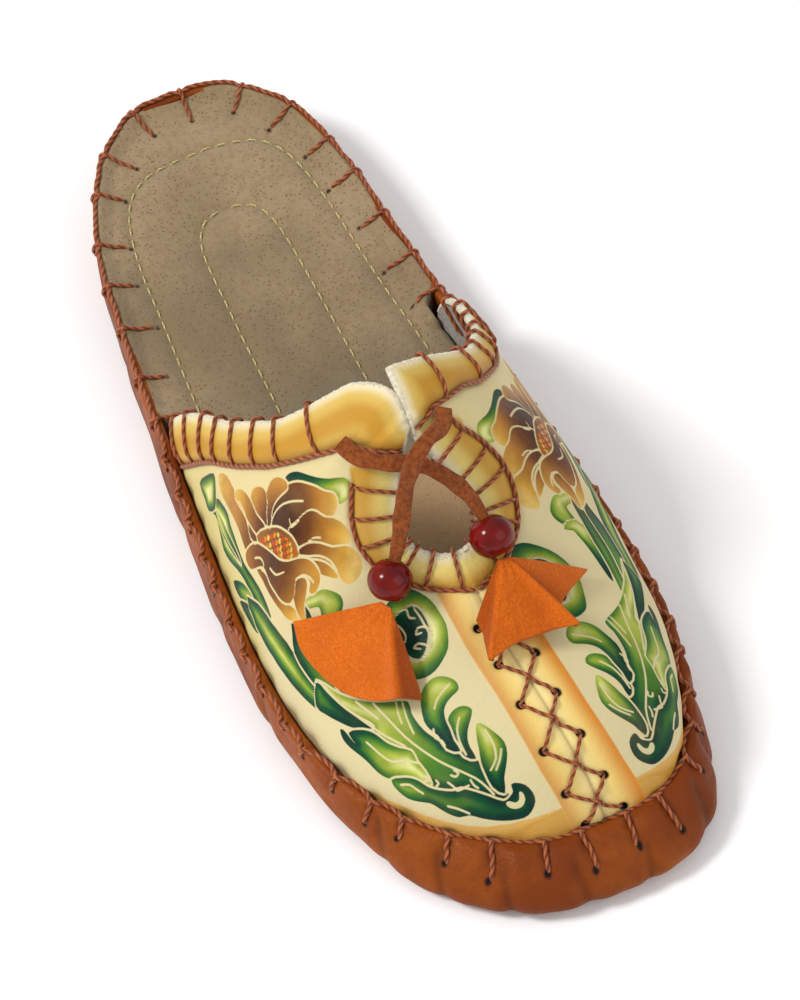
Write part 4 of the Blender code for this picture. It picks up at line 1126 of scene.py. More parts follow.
# %% Outlines of the leaves
LEAVES = {
        "top_leaf": [(120.7, 39.6), (120.5, 37.5), (118.8, 34.9), (116.2, 32.5), (112.9, 29.4), (109.5, 25.5), (106.1,
        20.9), (103.4, 19.4), (101, 19.9), (100.6, 21.4), (101.6, 23.6), (103.6, 23.8), (106.1, 26.3), (109, 29),
        (112.3, 31.4), (115.5, 34.2), (117.9, 37.5)],
        "reed": [(142.2, 70.1), (138.2, 68), (134.9, 67.3), (132.3, 68.1), (128.9, 68.2), (125.5, 68.3), (121.3,
        67.8), (116, 65.5), (111.2, 63.3), (104.5, 59.6), (98.2, 56.7), (96.3, 57.9), (101.1, 61.7), (109, 66.2),
        (114.8, 68.7), (119.7, 70.4), (124, 72.6), (129.1, 76.1), (133.5, 77.7), (136.1, 76.3), (138.9, 74.7), (141.1,
        74.4), (142.9, 75.4)],
        "reed_top": [(152, 75.8), (149.7, 71), (146.1, 66.2), (144.1, 67.7), (142.6, 70.3), (142.1, 73.5), (145,
        77.3), (147.9, 76.7)],
        "reed_eye": [(125.2, 78.8), (121.3, 73.7), (117.2, 70.5), (113.3, 69), (114.3, 71.6), (118.3, 75.9), (122,
        78.4)],
        "reed_low": [(119.9, 78.9), (115.7, 73.8), (111.2, 70), (104.5, 65.3), (96.9, 60.3), (105.9, 70.8), (113.8,
        76.2)],
        "reed_belly": [(140.8, 72.8), (139, 72), (134.5, 71.5), (130.6, 70.7), (126.7, 69.9), (123, 69.5), (127.7,
        72), (132.3, 73.7), (136.2, 74.5)],
        "stem": [(116, 71.9), (100.9, 59.5), (85.4, 50.3), (71.5, 45.2), (62, 41.8), (54.6, 37.4), (49.5, 35.3),
        (54.4, 40.8), (61.8, 45.9), (73.5, 51.5), (89, 58.7), (107.3, 70.3)],
        "twin_one": [(83.5, 31.2), (86.1, 33.7), (87.4, 36.5), (88.7, 40.3), (87.4, 41.1), (85.4, 38.7), (83.5, 35.9),
        (81, 35.6), (77.4, 36.1), (73.3, 36.2), (66.5, 34.8), (68.6, 34), (72.7, 33.7), (75.6, 31.7), (78, 29.4),
        (80.6, 29.3)],
        "twin_two": [(75, 29.9), (77.4, 32.4), (78.6, 35), (78, 36.5), (76.2, 38.1), (71.6, 37.2), (66.1, 35.9),
        (59.8, 34.4), (63.1, 33.7), (66.9, 33.4), (70.6, 33.1), (73.3, 32.7), (75, 32.4)],
        "strand_one": [(88.7, 41.5), (88.1, 42.8), (82.9, 42.2), (76.2, 41.2), (68.2, 39.4), (61.2, 38), (54.6, 36.9),
        (47.1, 33.8), (51.6, 34.5), (58, 35.5), (64.6, 36.1), (71.1, 36.6), (79.2, 38.5), (84.8, 39.6)],
        "strand_two": [(89.4, 46.2), (85.4, 47), (80.4, 47.6), (72.1, 45.2), (65, 42.8), (57, 39.7), (49.3, 36.4),
        (42, 33.2), (46.2, 33.5), (52.6, 35.3), (59.8, 37.3), (66.1, 38.5), (73.3, 40), (82.2, 42.8)],
        "ring": [(70.2, 13.4), (68, 11.6), (65.1, 10.2), (61.9, 9.7), (58.8, 9.6), (56.2, 10.4), (53.8, 11.7), (52.1,
        14), (51, 16.5), (50.9, 18.9), (51.9, 21.3), (53.4, 22.9), (57.2, 24.3), (61.4, 25.2), (65.5, 24.1), (68.6,
        21.6), (70.8, 17.5), (71, 15)],
        "ring_inner": [(66.4, 16.2), (66.2, 14.4), (64.7, 13.4), (62.1, 13.1), (59.5, 13.4), (56.9, 14.7), (55.2,
        16.6), (55.1, 18.6), (56.8, 20.1), (59.6, 21.1), (62.5, 21.1), (65.1, 20), (66.3, 18.2)],
        "leaf_body": [(67.2, 43), (64.6, 41.2), (60.6, 39), (56.6, 35.8), (53, 32.1), (50.3, 28), (48.4, 25.3), (45.9,
        26), (42.9, 26), (40.2, 25.5), (38, 24.6), (35, 23.5), (31.9, 21.4), (29.4, 19.5), (27, 18.7), (24.4, 18.5),
        (20.4, 17.9), (18.1, 16.9), (18.1, 18.9), (21.1, 21.1), (23.8, 23.4), (26.1, 25.4), (27.7, 27.8), (29.6,
        29.8), (31.5, 31.1), (33.6, 31.6), (35.6, 33.2), (37.8, 35.2), (40.2, 36.5), (42.2, 36.6), (43.4, 35.8), (45,
        35.4), (47.5, 36.2), (49.1, 35.3), (52.2, 36.9), (55.9, 39.2), (60.4, 40.7), (63.8, 41.7)],
        "dark_blade": [(66.9, 43.1), (63.6, 41.8), (60.4, 40.7), (56.1, 39), (51.8, 36.7), (49.1, 35.3), (52, 39.1),
        (56, 42), (60.1, 44.6), (63.2, 46)],
        "lobe_one": [(45.7, 23), (47.9, 21.7), (49.2, 19.5), (49.4, 17.1), (48.2, 15.1), (46.3, 13.9), (44.6, 14.3),
        (44.1, 16.1), (43.5, 17.9), (42.3, 19.5), (40.1, 20.5), (38, 20.8), (35.4, 21.4), (32.9, 21.4), (34.8, 23.3),
        (38.2, 23.3), (40.4, 24.1), (42.7, 24.2)],
        "lobe_two": [(39.6, 19.8), (40.6, 18.4), (40.9, 16.6), (40.3, 15.1), (39, 14.4), (37.4, 15.8), (35.8, 17.5),
        (34, 18.7), (32.1, 19.2), (29.6, 19.3), (31.3, 20.9), (34.5, 21.1), (37.3, 20.8)],
        "lobe_three": [(35.6, 14.9), (34.2, 13.8), (31.7, 12.8), (29.2, 12.2), (26.7, 13), (24.4, 14.7), (22.5, 16.3),
        (19.8, 17.7), (22.3, 19.1), (25.7, 18.9), (28.2, 18.4), (30.6, 17.4), (33.2, 16.4)],
        "lobe_lime": [(52.2, 41.3), (51, 38.9), (49.1, 36.8), (47, 35.6), (44.2, 34.6), (41.4, 32.7), (39.2, 30.8),
        (36.8, 31.1), (34, 30.8), (31.5, 31.1), (32.8, 32.4), (34.5, 33.2), (36.1, 34.8), (37.7, 37.1), (39.3, 39.6),
        (41.8, 40.9), (44.5, 41.3), (47.1, 42), (50, 43.1), (52.6, 43.6), (54.4, 42.9), (53.1, 42.2), (50.5, 41.9),
        (48.9, 41.1)],
        "lobe_under": [(38.2, 39.3), (36.9, 36.9), (35.2, 34.7), (33.4, 33.3), (31.3, 32.3), (29.1, 30.4), (26.8,
        27.6), (26, 25.6), (23.7, 23.4), (21, 21.2), (18.1, 18.9), (18.1, 16.9), (18.8, 15.7), (20.2, 15.4), (19.9,
        14.4), (18.5, 13), (16.2, 12.4), (14.1, 12.8), (12.6, 14.5), (12.4, 16.5), (13.9, 19.5), (16.2, 22.5), (19,
        25.3), (21.4, 27.4), (22.9, 30.1), (25.1, 31.9), (27.4, 33.1), (29.1, 34.1), (31.2, 36.5), (33.6, 38.8),
        (36.2, 39.7)],
        "hook_bite": [(17.5, 18.6), (17.5, 17.7), (16.3, 16.6), (16.5, 15.5), (17.9, 14.8), (17.4, 14.2), (15.7,
        14.4), (14.7, 15.7), (15.1, 17.2), (16.2, 18.3)],
        "reed_vein": [(140, 72.2), (137.2, 73.7), (132.6, 73.1), (127, 71.1), (122.4, 69.6)],
        "ring_vein": [(65.1, 19.5), (63.6, 18.8), (61.7, 18.5), (60.3, 19.2), (59.5, 20.6), (57.4, 20.3), (55.4,
        19.1), (54.9, 17.7), (55.8, 16), (57.4, 14.7), (59.1, 13.6), (61.3, 13.7), (63.5, 13.8), (65.6, 14.2)],
        "ring_curl1": [(66.2, 15.8), (64.4, 16), (63.7, 14.9)],
        "ring_curl2": [(60, 15.1), (60.3, 16.4), (61.4, 15.3), (60.7, 13.8)],
        "ring_curl3": [(56.9, 16.9), (57.9, 18.1), (58.3, 16.9), (57.2, 15.6)],
        "leaf_spine": [(53.1, 32.3), (47.6, 31), (42.6, 30), (37.9, 28.4), (33.8, 26.5), (30.7, 24.6), (26.1, 21.6),
        (23.2, 20.5), (20.8, 19.9)],
        "vein_one": [(46.6, 15.2), (45.8, 17.6), (44.9, 19.6), (43.6, 21)],
        "vein_two": [(38.9, 17.5), (37, 19.3), (34.3, 20.3), (31.3, 20.6)],
        "vein_three": [(33.7, 14.2), (30, 14.3), (27.1, 15.4), (25.5, 17.8)],
        "vein_four": [(28.2, 13.4), (26.4, 14.8), (24.9, 16.7)],
        "vein_lime": [(47.9, 38.7), (45.6, 38), (43.1, 37.3), (40.6, 36), (38.8, 33.2), (36.4, 30.9)],
        "vein_under": [(36.2, 38), (34.7, 35.9), (33, 35.1), (31.3, 34.2)],
        "vein_tail": [(25.8, 30.8), (24, 29.1), (21.5, 27.3)],
        "vein_fan1": [(64.5, 41.3), (58.8, 39.6), (53.6, 37.3), (49.1, 35.3), (45.7, 33.8), (41, 31.2)],
        "vein_fan2": [(56.2, 35.8), (52.9, 34.4), (49.7, 33.1)],
        "vein_fan3": [(49.8, 27.6), (47.7, 28.4), (45.4, 28.9)],
        "vein_fan4": [(49, 26.3), (45.7, 27.3), (41.9, 27.9)],
        "vein_notch": [(40, 23.6), (38.3, 24.4), (36.8, 23.5), (35.6, 23.5)],
        "teeth_one": [(33.5, 31.3), (32.3, 30.8), (32.6, 32.1)],
        "teeth_two": [(31.1, 29.5), (30.2, 29.4), (30.2, 30.3)],
        "teeth_three": [(29.1, 27.4), (27.6, 26.8), (26.4, 26.5), (25.7, 23.7)],
        "teeth_four": [(30.2, 24.7), (29.1, 24.2), (28.9, 25.2), (29.8, 25.9)],
        "teeth_five": [(26.4, 22.7), (25.1, 22.7), (24, 22.2)],
}

# %% [markdown]
# ## Brushing the colours
# `ink` is how far a point lies inside the dyed part; the finish turns it into a crisp edge. A shape painted over
# others keeps a cream line round itself. Each shape's tone runs from dark to light along its own brush stroke.

# %% Brushes
GREENS = (
    (0.0, (2, 50, 38)), (0.28, (12, 78, 42)), (0.52, (78, 124, 36)), (0.76, (158, 172, 60)), (1.0, (222, 220, 146)),
)
BROWNS = (
    (0.0, (70, 34, 14)), (0.3, (112, 62, 26)), (0.6, (172, 114, 40)), (0.85, (202, 152, 58)), (1.0, (216, 180, 96)),
)
SEEDS = ((226, 120, 20), (204, 60, 20), (236, 190, 70))


def brushed(tones, t):
    keys = [k for k, _ in tones]
    colours = np.array([pigment(*c) for _, c in tones])
    t = np.clip(t, 0, 1)
    return np.stack([np.interp(t, keys, colours[:, k]) for k in range(4)], -1)


def gap_to_outline(p, outline, closed=True):
    """Signed distance in chart millimetres: positive inside a closed outline; a plain distance for an open line."""
    a = np.asarray(outline, float)
    b = np.roll(a, -1, 0) if closed else a[1:]
    a = a if closed else a[:-1]
    best = np.full(len(p), 1e3)
    inside = np.zeros(len(p), bool)
    for (x0, y0), (x1, y1) in zip(a, b):
        dx, dy = x1 - x0, y1 - y0
        t = np.clip(((p[:, 0] - x0) * dx + (p[:, 1] - y0) * dy) / max(dx * dx + dy * dy, 1e-9), 0, 1)
        best = np.minimum(best, np.hypot(p[:, 0] - x0 - t * dx, p[:, 1] - y0 - t * dy))
        if closed and y0 != y1:
            inside ^= ((y0 > p[:, 1]) != (y1 > p[:, 1])) & (p[:, 0] < (x1 - x0) * (p[:, 1] - y0) / (y1 - y0) + x0)
    return np.where(inside, best, -best) if closed else best


def rounded(outline, closed=True):
    """The given points joined by a smooth curve."""
    p = np.asarray(outline, float)
    q = np.vstack([p[-1], p, p[:2]]) if closed else np.vstack([2 * p[0] - p[1], p, 2 * p[-1] - p[-2]])
    fine = np.vstack(curve_pieces(q, np.array([0.0, 0.5])[:, None]))
    return fine if closed else np.vstack([fine, p[-1:]])


# %% What is painted, in order
HEART, RING_HEART = (112.0, 50.0), (60.7, 17.2)  # the middles of the flower and of the ring, on the chart
RESIST = 0.44  # width of a resist line, mm
STROKES = (  # outline, tones, how the tone runs, its two ends
    ("top_leaf", GREENS, "axis", (121, 38), (101, 22)),
    ("reed", GREENS, "edge", 0.1, 3.4),
    ("reed_top", GREENS, "edge", 0.0, 3.2),
    ("reed_belly", GREENS, "axis", (123, 69), (140, 72)),
    ("reed_eye", GREENS, "axis", (125, 79), (113, 70)),
    ("reed_low", GREENS, "axis", (119, 79), (98, 61)),
    ("stem", GREENS, "edge", 0.1, 3.8),
    ("twin_one", GREENS, "axis", (68, 35), (88, 34)),
    ("twin_two", GREENS, "axis", (61, 34), (79, 34)),
    ("strand_two", GREENS, "axis", (90, 46), (34, 32)),
    ("strand_one", GREENS, "axis", (96, 43), (40, 33)),
    ("petal_crown", BROWNS, "heart", 9, 28),
    ("petal_top", BROWNS, "heart", 5, 17),
    ("petal_right", BROWNS, "heart", 9, 34),
    ("petal_small", BROWNS, "heart", 15, 36),
    ("petal_low", BROWNS, "heart", 12, 38),
    ("petal_bud", BROWNS, "heart", 6, 20),
    ("petal_side", BROWNS, "heart", 6, 36),
    ("petal_spike", BROWNS, "heart", 6, 26),
    ("tail_left", BROWNS, "heart", 2, 26),
    ("tail_right", BROWNS, "heart", 12, 30),
    ("eye", BROWNS, "heart", -8, 30),
    ("lip", BROWNS, "heart", 2, 34),
    ("ring", GREENS, "ring", 11.2, 5.2),
    ("ring_inner", GREENS, "ring", 3.0, 14.0),
    ("leaf_body", GREENS, "axis", (20, 19), (62, 40)),
    ("dark_blade", GREENS, "axis", (53, 38), (84, 50)),
    ("lobe_three", GREENS, "axis", (20, 17), (35, 14)),
    ("lobe_two", GREENS, "axis", (30, 20), (44, 14)),
    ("lobe_one", GREENS, "axis", (34, 22), (52, 16)),
    ("lobe_lime", GREENS, "axis", (56, 43), (34, 31)),
    ("lobe_under", GREENS, "axis", (16, 14), (60, 46)),
)
RESIST_LINES = (
    "vein_crown", "vein_curl", "vein_spike", "vein_right", "vein_low", "vein_curl2", "vein_smile", "vein_hook",
    "reed_vein", "ring_vein", "ring_curl1", "ring_curl2", "ring_curl3", "leaf_spine", "vein_one", "vein_two",
    "vein_three", "vein_four", "vein_lime", "vein_under", "vein_tail", "vein_fan1", "vein_fan2", "vein_fan3",
    "vein_fan4", "vein_notch", "teeth_one", "teeth_two", "teeth_three", "teeth_four", "teeth_five",
)
OUTLINES = {**FLOWER, **LEAVES}


def close_to(p, outline):
    """Numbers of the points that lie in an outline's box or within 2 mm of it."""
    return np.flatnonzero(((p > outline.min(0) - 2) & (p < outline.max(0) + 2)).all(1))


def paint(up, out):
    """Ink distance and fill colour at chart points."""
    p = np.column_stack([up.ravel(), out.ravel()])
    ink = np.full(len(p), -5.0)
    fill = np.tile(pigment(60, 90, 30), (len(p), 1))
    for name, tones, how, start, end in STROKES:
        outline = rounded(OUTLINES[name])
        near = close_to(p, outline)
        if not len(near):
            continue
        q = p[near]
        gap = gap_to_outline(q, outline) + (0.7 if tones is BROWNS else 0.45)
        if how == "axis":
            a, b = np.array(start, float), np.array(end, float)
            t = ((q - a) @ (b - a)) / ((b - a) @ (b - a))
            t = t * 0.95 - 0.22 + 0.38 * ease(gap / 2.6)
        elif how == "edge":
            t = (gap - start) / (end - start)
        else:
            t = (np.hypot(*(q - (HEART if how == "heart" else RING_HEART)).T) - start) / (end - start)
        here = gap > -0.12
        fill[near[here]] = brushed(tones, t[here])
        ink[near] = np.maximum(np.minimum(ink[near], -gap - RESIST / 2), gap - RESIST / 2)
    for name in RESIST_LINES:
        line = rounded(OUTLINES[name], closed=False)
        near = close_to(p, line)
        ink[near] = np.minimum(ink[near], gap_to_outline(p[near], line, closed=False) - RESIST / 2)
    bite = gap_to_outline(p, rounded(OUTLINES["hook_bite"]))
    ink = np.minimum(ink, -bite)
    eye = gap_to_outline(p, rounded(OUTLINES["eye"]))
    seeds = [(102.5 + 1.75 * i + 0.9 * (j % 2), 40.5 + 1.55 * j) for i in range(12) for j in range(12)]
    for k, seed in enumerate(seeds):
        dot = np.hypot(p[:, 0] - seed[0], p[:, 1] - seed[1])
        fill[(dot < 0.62) & (eye > 0.5)] = pigment(*SEEDS[k % 3])
    return ink.reshape(up.shape), fill.reshape(*up.shape, 4)


# %% [markdown]
# ## The cream ground, the bands and the strip
# The ground is cream hide. A golden band follows the collar and the keyhole, and a strip of ochre runs down the
# seam, darkest at its borders. The bands end at the cords that are sewn over them.

# %% Purl lines and the ground's tones
COLLAR_PURL = {
    RIGHT: ((172.0, 92.0), (159.9, 78.2), (149.1, 65.0), (137.6, 54.1), (128.4, 44.0), (119.9, 31.9), (114.8, 23.5),
            (112.6, 19.6), (109.6, 15.2), (99.8, 3.6)),
    LEFT: ((184.0, 96.0), (170.0, 84.0), (154.0, 68.5), (134.1, 49.1), (127.0, 39.6), (120.6, 30.2), (117.0, 22.2),
           (111.7, 13.5), (109.3, 8.3), (102.7, 1.1)),
}
KEYHOLE_PURL = {
    RIGHT: ((102.9, 18.5), (95.4, 20.8), (88.5, 20.9), (81.4, 18.8), (74.2, 14.8), (69.0, 10.2), (65.6, 5.2),
            (62.6, 0.2)),
    LEFT: ((108.4, 10.4), (104.1, 13.7), (101.1, 18.9), (95.2, 22.7), (86.2, 21.9), (77.2, 18.1), (71.9, 13.8),
           (65.7, 6.7), (62.6, 0.2)),
}
STRIP_HALF = {RIGHT: ((0, 7.6), (20, 8.5), (40, 7.9), (66, 8.1)), LEFT: ((0, 11.2), (15, 9.4), (30, 8.8), (66, 9.3))}
OCHRE_EDGE = (
    (44, 50), (33.6, 42.3), (29, 38.5), (24.7, 34.4), (20.6, 30.1), (16.5, 25.2), (13.2, 20), (11, 14.9), (10, 11.2),
    (9.4, 8),
)
LACE_HOLES = {
    RIGHT: ((54.4, 3.7), (44.9, 3.9), (34.6, 4.7), (23.1, 5.8), (12.0, 6.0), (2.6, 4.6)),
    LEFT: ((55.2, 4.8), (44.6, 4.9), (34.2, 3.8), (23.6, 3.5), (12.6, 3.6), (3.4, 4.9)),
}
CREAM, IVORY, GOLD, STRAW, OCHRE = (208, 194, 148), (226, 214, 176), (188, 138, 46), (230, 200, 114), (196, 138, 70)


def over(tones, amount, colour):
    return tones + (np.array(pigment(*colour)) - tones) * np.clip(amount, 0, 1)[..., None]


def curve_through(points, key, value, at):
    rows = sorted(points, key=lambda p: p[key])
    return np.interp(at, [r[key] for r in rows], [r[value] for r in rows])


def ground_tones(side, up, out, from_collar, from_keyhole):
    tones = np.tile(pigment(*CREAM), (*up.shape, 1))
    tones = over(tones, 0.5 * ease((up - 70) / 60), (214, 194, 132))
    tones = over(tones, 0.55 * ease((out - 62) / 14), (200, 184, 108))
    past = curve_through(OCHRE_EDGE, 0, 1, np.clip(up, 9.4, 44))
    beyond = np.where(up < 44, out - past, -5.0)
    beyond = np.where(up < 9.4, 4.0 * (out > 7), beyond)
    rim = ease((beyond + 0.2) / 0.5)
    tones = over(tones, rim * 0.85, (208, 156, 66))
    tones = over(tones, rim * ease((beyond - 1.0) / 5), (192, 142, 58))
    border = curve_through(STRIP_HALF[side], 0, 1, up)
    strip = ease((border - out) / 0.4 + 0.5) * (up < 70)
    tones = over(tones, strip, STRAW)
    tones = over(tones, strip * ease((out / border - 0.34) / 0.7) * 0.95, OCHRE if side < 0 else (206, 122, 28))
    tones = over(tones, strip * dome(out, 3.0) * 0.6, (238, 222, 160))
    low = curve_through(KEYHOLE_PURL[side], 0, 1, np.clip(up, 62.6, 103))
    key = (ease((low - out) / 0.6 + 0.5) * ease((up - 62.3) / 0.6) * ease((108 - up) / 3)) * (from_keyhole < 14)
    tones = over(tones, key, (214, 192, 110))
    tones = over(tones, key * ease((from_keyhole - 2.5) / 4.5), (186, 140, 54))
    tones = over(tones, key * (1 - ease(from_keyhole / 2.6)) * 0.9, IVORY)
    line = curve_through(COLLAR_PURL[side], 1, 0, out)
    band = ease((up - line) / 0.6 + 0.5)
    tones = over(tones, band, (206, 172, 84))
    tones = over(tones, band * ease((from_collar - 2.2) / 3.4) * (1 - 0.6 * ease((from_collar - 7) / 3)), GOLD)
    # Darker next to the purl line: partly the band's own painted gradient, partly painted shade where the padded band
    # dips to the purl.
    tones = over(tones, band * (1 - ease((up - line) / 3.2)) * 0.7, (158, 108, 40))
    tones = over(tones, band * (1 - ease(from_collar / 2.4)) * 0.9, IVORY)
    return tones, band, key, strip


# %% Building a half vamp
def line_gap(points, line):
    """Distance in space from points to a line of close points, in mm."""
    flat = points.reshape(-1, 3)
    best = np.full(len(flat), 1e3)
    for start in range(0, len(line), 40):
        piece = line[start : start + 40]
        best = np.minimum(best, ((flat[:, None] - piece[None]) ** 2).sum(-1).min(1))
    return (np.sqrt(best) / MM).reshape(points.shape[:-1])


KEY_LEGS = {
    RIGHT: ((101.6, 18.3), (94.5, 20.3), (86.8, 20.4), (79.4, 17.6), (74.0, 14.4), (68.7, 9.7), (64.2, 2.6)),
    LEFT: ((103.6, 14.4), (99.4, 20.0), (93.8, 22.8), (84.2, 21.2), (77.2, 18.1), (71.9, 13.8), (66.4, 7.6)),
}
COLLAR_LEGS = {
    RIGHT: ((163.2, 81.8), (157.5, 75.0), (151.9, 68.3), (146.2, 62.3), (139.2, 55.6), (132.1, 48.4), (124.8, 39.5),
            (116.4, 26.6)),
    LEFT: ((171.0, 84.8), (163.0, 77.2), (155.0, 69.5), (147.2, 62.0), (139.6, 54.6), (131.0, 45.2), (121.5, 31.8),
           (111.7, 13.5)),
}


HALF_COLUMNS, HALF_ROWS = (74, 124, 226), 196  # points along the ear, the keyhole and the seam, and down to the rand
LINING_COLUMNS, LINING_ROWS = (30, 46, 90), 80


def make_half(side):
    """The painted face of one half of the vamp, with the margin that is tucked into the rand."""
    steps, rows = steps_of(*HALF_COLUMNS), np.linspace(0, 1, HALF_ROWS)
    turn, share, edge_turn = sheet_places(side, steps, rows)
    face = vamp(turn, side * share)
    normal = vamp_normal(turn, side * share)
    up, out = chart_of(turn, share, side)
    collar_edge, key_edge = face[0], face[(steps >= EAR_STEPS) & (steps <= SEAM_START), -1]
    slit_edge = face[steps <= EAR_STEPS, -1]
    from_collar = np.minimum(line_gap(face, collar_edge[::3]), line_gap(face, slit_edge[::2]))
    from_keyhole = line_gap(face, key_edge[::2])
    tones, band, key, strip = ground_tones(side, up, out, from_collar, from_keyhole)
    ink, fill = paint(up, out)
    ink = np.where((band > 0.3) | (key > 0.3), -2.0, ink)
    out_by = 0.9 * band * np.sin(math.pi * np.clip(from_collar / 11, 0, 1)) ** 0.8
    out_by += 0.8 * key * np.sin(math.pi * np.clip(from_keyhole / 10, 0, 1)) ** 0.8
    # Painted shade along the seam between the halves, along the purl lines, round the lace holes and at the rand.
    painted_shade = 0.5 * dome(out, 0.5) * (up < 62)
    # Dark dots at the holes of the keyhole's legs and of the lacing: painted shade of the holes.
    pins = np.zeros(up.shape)
    chart = np.stack([up, out], -1)
    for lines in (COLLAR_PURL, KEYHOLE_PURL):
        purl = rounded(lines[side], closed=False)
        gap = gap_to_outline(chart.reshape(-1, 2), purl, closed=False).reshape(up.shape)
        out_by -= 0.55 * dome(gap, 1.3)
        painted_shade += 0.35 * dome(gap, 0.8)
    for spot in KEY_LEGS[side]:
        pins += dome(np.linalg.norm(chart - spot, axis=-1), 0.55)
    for spot in LACE_HOLES[side]:
        gap = np.linalg.norm(chart - spot, axis=-1)
        pins += 1.6 * dome(gap, 1.05)
        out_by -= 0.9 * dome(gap, 1.1)
        painted_shade += 0.25 * dome(gap, 2.0)
    out_by -= 0.45 * dome(out, 0.9) * (up < 62)
    out_by += 0.35 * strip * dome(out - 5.5, 3.0)
    out_by += 0.25 * np.sin(up * 0.11 + out * 0.07) * np.sin(out * 0.13 + 0.6) * ease(out / 12)
    if side > 0:
        edge_place = np.interp(edge_turn, RING_TURNS[: RING // 2], RING_PLACE[: RING // 2])
    else:
        edge_place = np.interp(2 * math.pi - edge_turn, RING_TURNS[RING // 2 :], RING_PLACE[RING // 2 :])
    tuck = dome(rows, 0.06)[None]
    for spot in STITCHES:
        if spot * side > 0:
            out_by -= 0.5 * dome(edge_place - spot, 2.2 * MM)[:, None] * tuck
    # painted shade where the sheet goes under the rand's lip
    painted_shade += 0.5 * dome(rows, 0.012)[None]
    face = face + normal * (out_by * MM)[..., None]
    hems = [hem_row(edge_turn, side, depth) for depth in (HEM_DEPTH, HEM_DEPTH / 2)]
    grid = np.concatenate([np.stack(hems, 1), face], 1)
    plain = np.zeros((len(steps), 2))
    carried = {"ink": np.concatenate([plain - 2, ink], 1), "painted_shade": np.concatenate([plain, painted_shade], 1),
               "pinhole_shade": np.concatenate([plain, pins], 1)}
    hem_tone = np.tile(pigment(*OCHRE), (len(steps), 2, 1))
    colours = {"ground_tone": np.concatenate([hem_tone, tones], 1), "fill_tone": np.concatenate([hem_tone, fill], 1)}
    faces = grid_faces(len(steps), len(rows) + 2, flip=side > 0)
    item = make_piece("vamp_" + WORDS[side], grid.reshape(-1, 3), faces, PAINTED_VAMP, carried, colours,
                      ("upper",))
    return item, face, normal, steps


halves = {side: make_half(side) for side in (RIGHT, LEFT)}
print("vamp halves:", [len(h[0].data.polygons) for h in halves.values()], "faces")
vamp_skin = {side: Skin(halves[side][0]) for side in halves}

# %% [markdown]
# ## Rim and lining
# The hide is two millimetres thick and its cut edge is left raw, so a white line runs round the collar and the
# keyhole. Inside there is grey fleece.

# %% Rim and lining
HALF_HIDE = UPPER_WALL / 2


def make_rim(side):
    _, face, normal, steps = halves[side]
    inner = steps <= SEAM_START
    border = np.vstack([face[0, :-1], face[inner, -1]])
    outward = np.vstack([normal[0, :-1], normal[inner, -1]])
    tangent = unit(np.gradient(border, axis=0))
    for _ in range(3):
        tangent = unit(tangent + np.vstack([tangent[:1], tangent[:-1]]) + np.vstack([tangent[1:], tangent[-1:]]))
    away = unit(np.cross(outward, tangent)) * side
    towards = unit(face[0, 60] - face[8, 60])
    if np.dot(away[60], towards) < 0:
        away = -away
    angle = np.linspace(0, math.pi, 8)
    ragged = 1 + 0.10 * np.sin(np.arange(len(border)) * 0.9) + 0.07 * np.sin(np.arange(len(border)) * 2.3)
    ring = ((border - outward * HALF_HIDE)[:, None]
            + np.cos(angle)[None, :, None] * outward[:, None] * HALF_HIDE
            + (np.sin(angle)[None] * ragged[:, None])[..., None] * away[:, None] * 0.75 * MM)
    faces = grid_faces(len(border), len(angle), flip=side < 0)
    piece = make_piece("raw_rim_" + WORDS[side], ring.reshape(-1, 3), faces, RAW_EDGE, stands_for=("upper",))
    return piece, border, outward, away


def make_lining(side):
    steps, rows = steps_of(*LINING_COLUMNS), np.linspace(0, 1, LINING_ROWS)
    turn, share, edge_turn = sheet_places(side, steps, rows)
    face = vamp(turn, side * share, np.full(turn.shape, -UPPER_WALL))
    wave = 0.15 * MM * np.sin(face[..., 0] * 700) * np.sin(face[..., 1] * 650 + 2 * np.sin(face[..., 2] * 400))
    face = face + vamp_normal(turn, side * share) * np.where((rows > 0.04) & (rows < 0.97), wave, 0)[..., None]
    tucked = hem_row(edge_turn, side, HEM_DEPTH)
    inward = face[:, 0] - vamp(edge_turn, side * np.ones(len(edge_turn)))
    tucked = tucked + inward * np.array([1, 1, 0])
    grid = np.concatenate([tucked[:, None], face], 1)
    faces = grid_faces(len(steps), len(rows) + 1, flip=side < 0)
    return make_piece("lining_" + WORDS[side], grid.reshape(-1, 3), faces, FLEECE, stands_for=("upper",))


rims = {side: make_rim(side) for side in halves}
linings = {side: make_lining(side) for side in halves}
lining_skin = {side: Skin(linings[side]) for side in linings}
print("rims:", [round(run_length(r[1]) * 1000) for r in rims.values()], "mm long")

# %% [markdown]
# ## Purl stitching
# A twisted cord runs along the edge and is caught at each stitch by a leg that goes down to its hole, as in a
# blanket stitch. On the rand the legs run down the leather; round the heel they run inward over the insole; on the
# collar and keyhole they cross the padded band, wrap the raw edge and end in the lining.

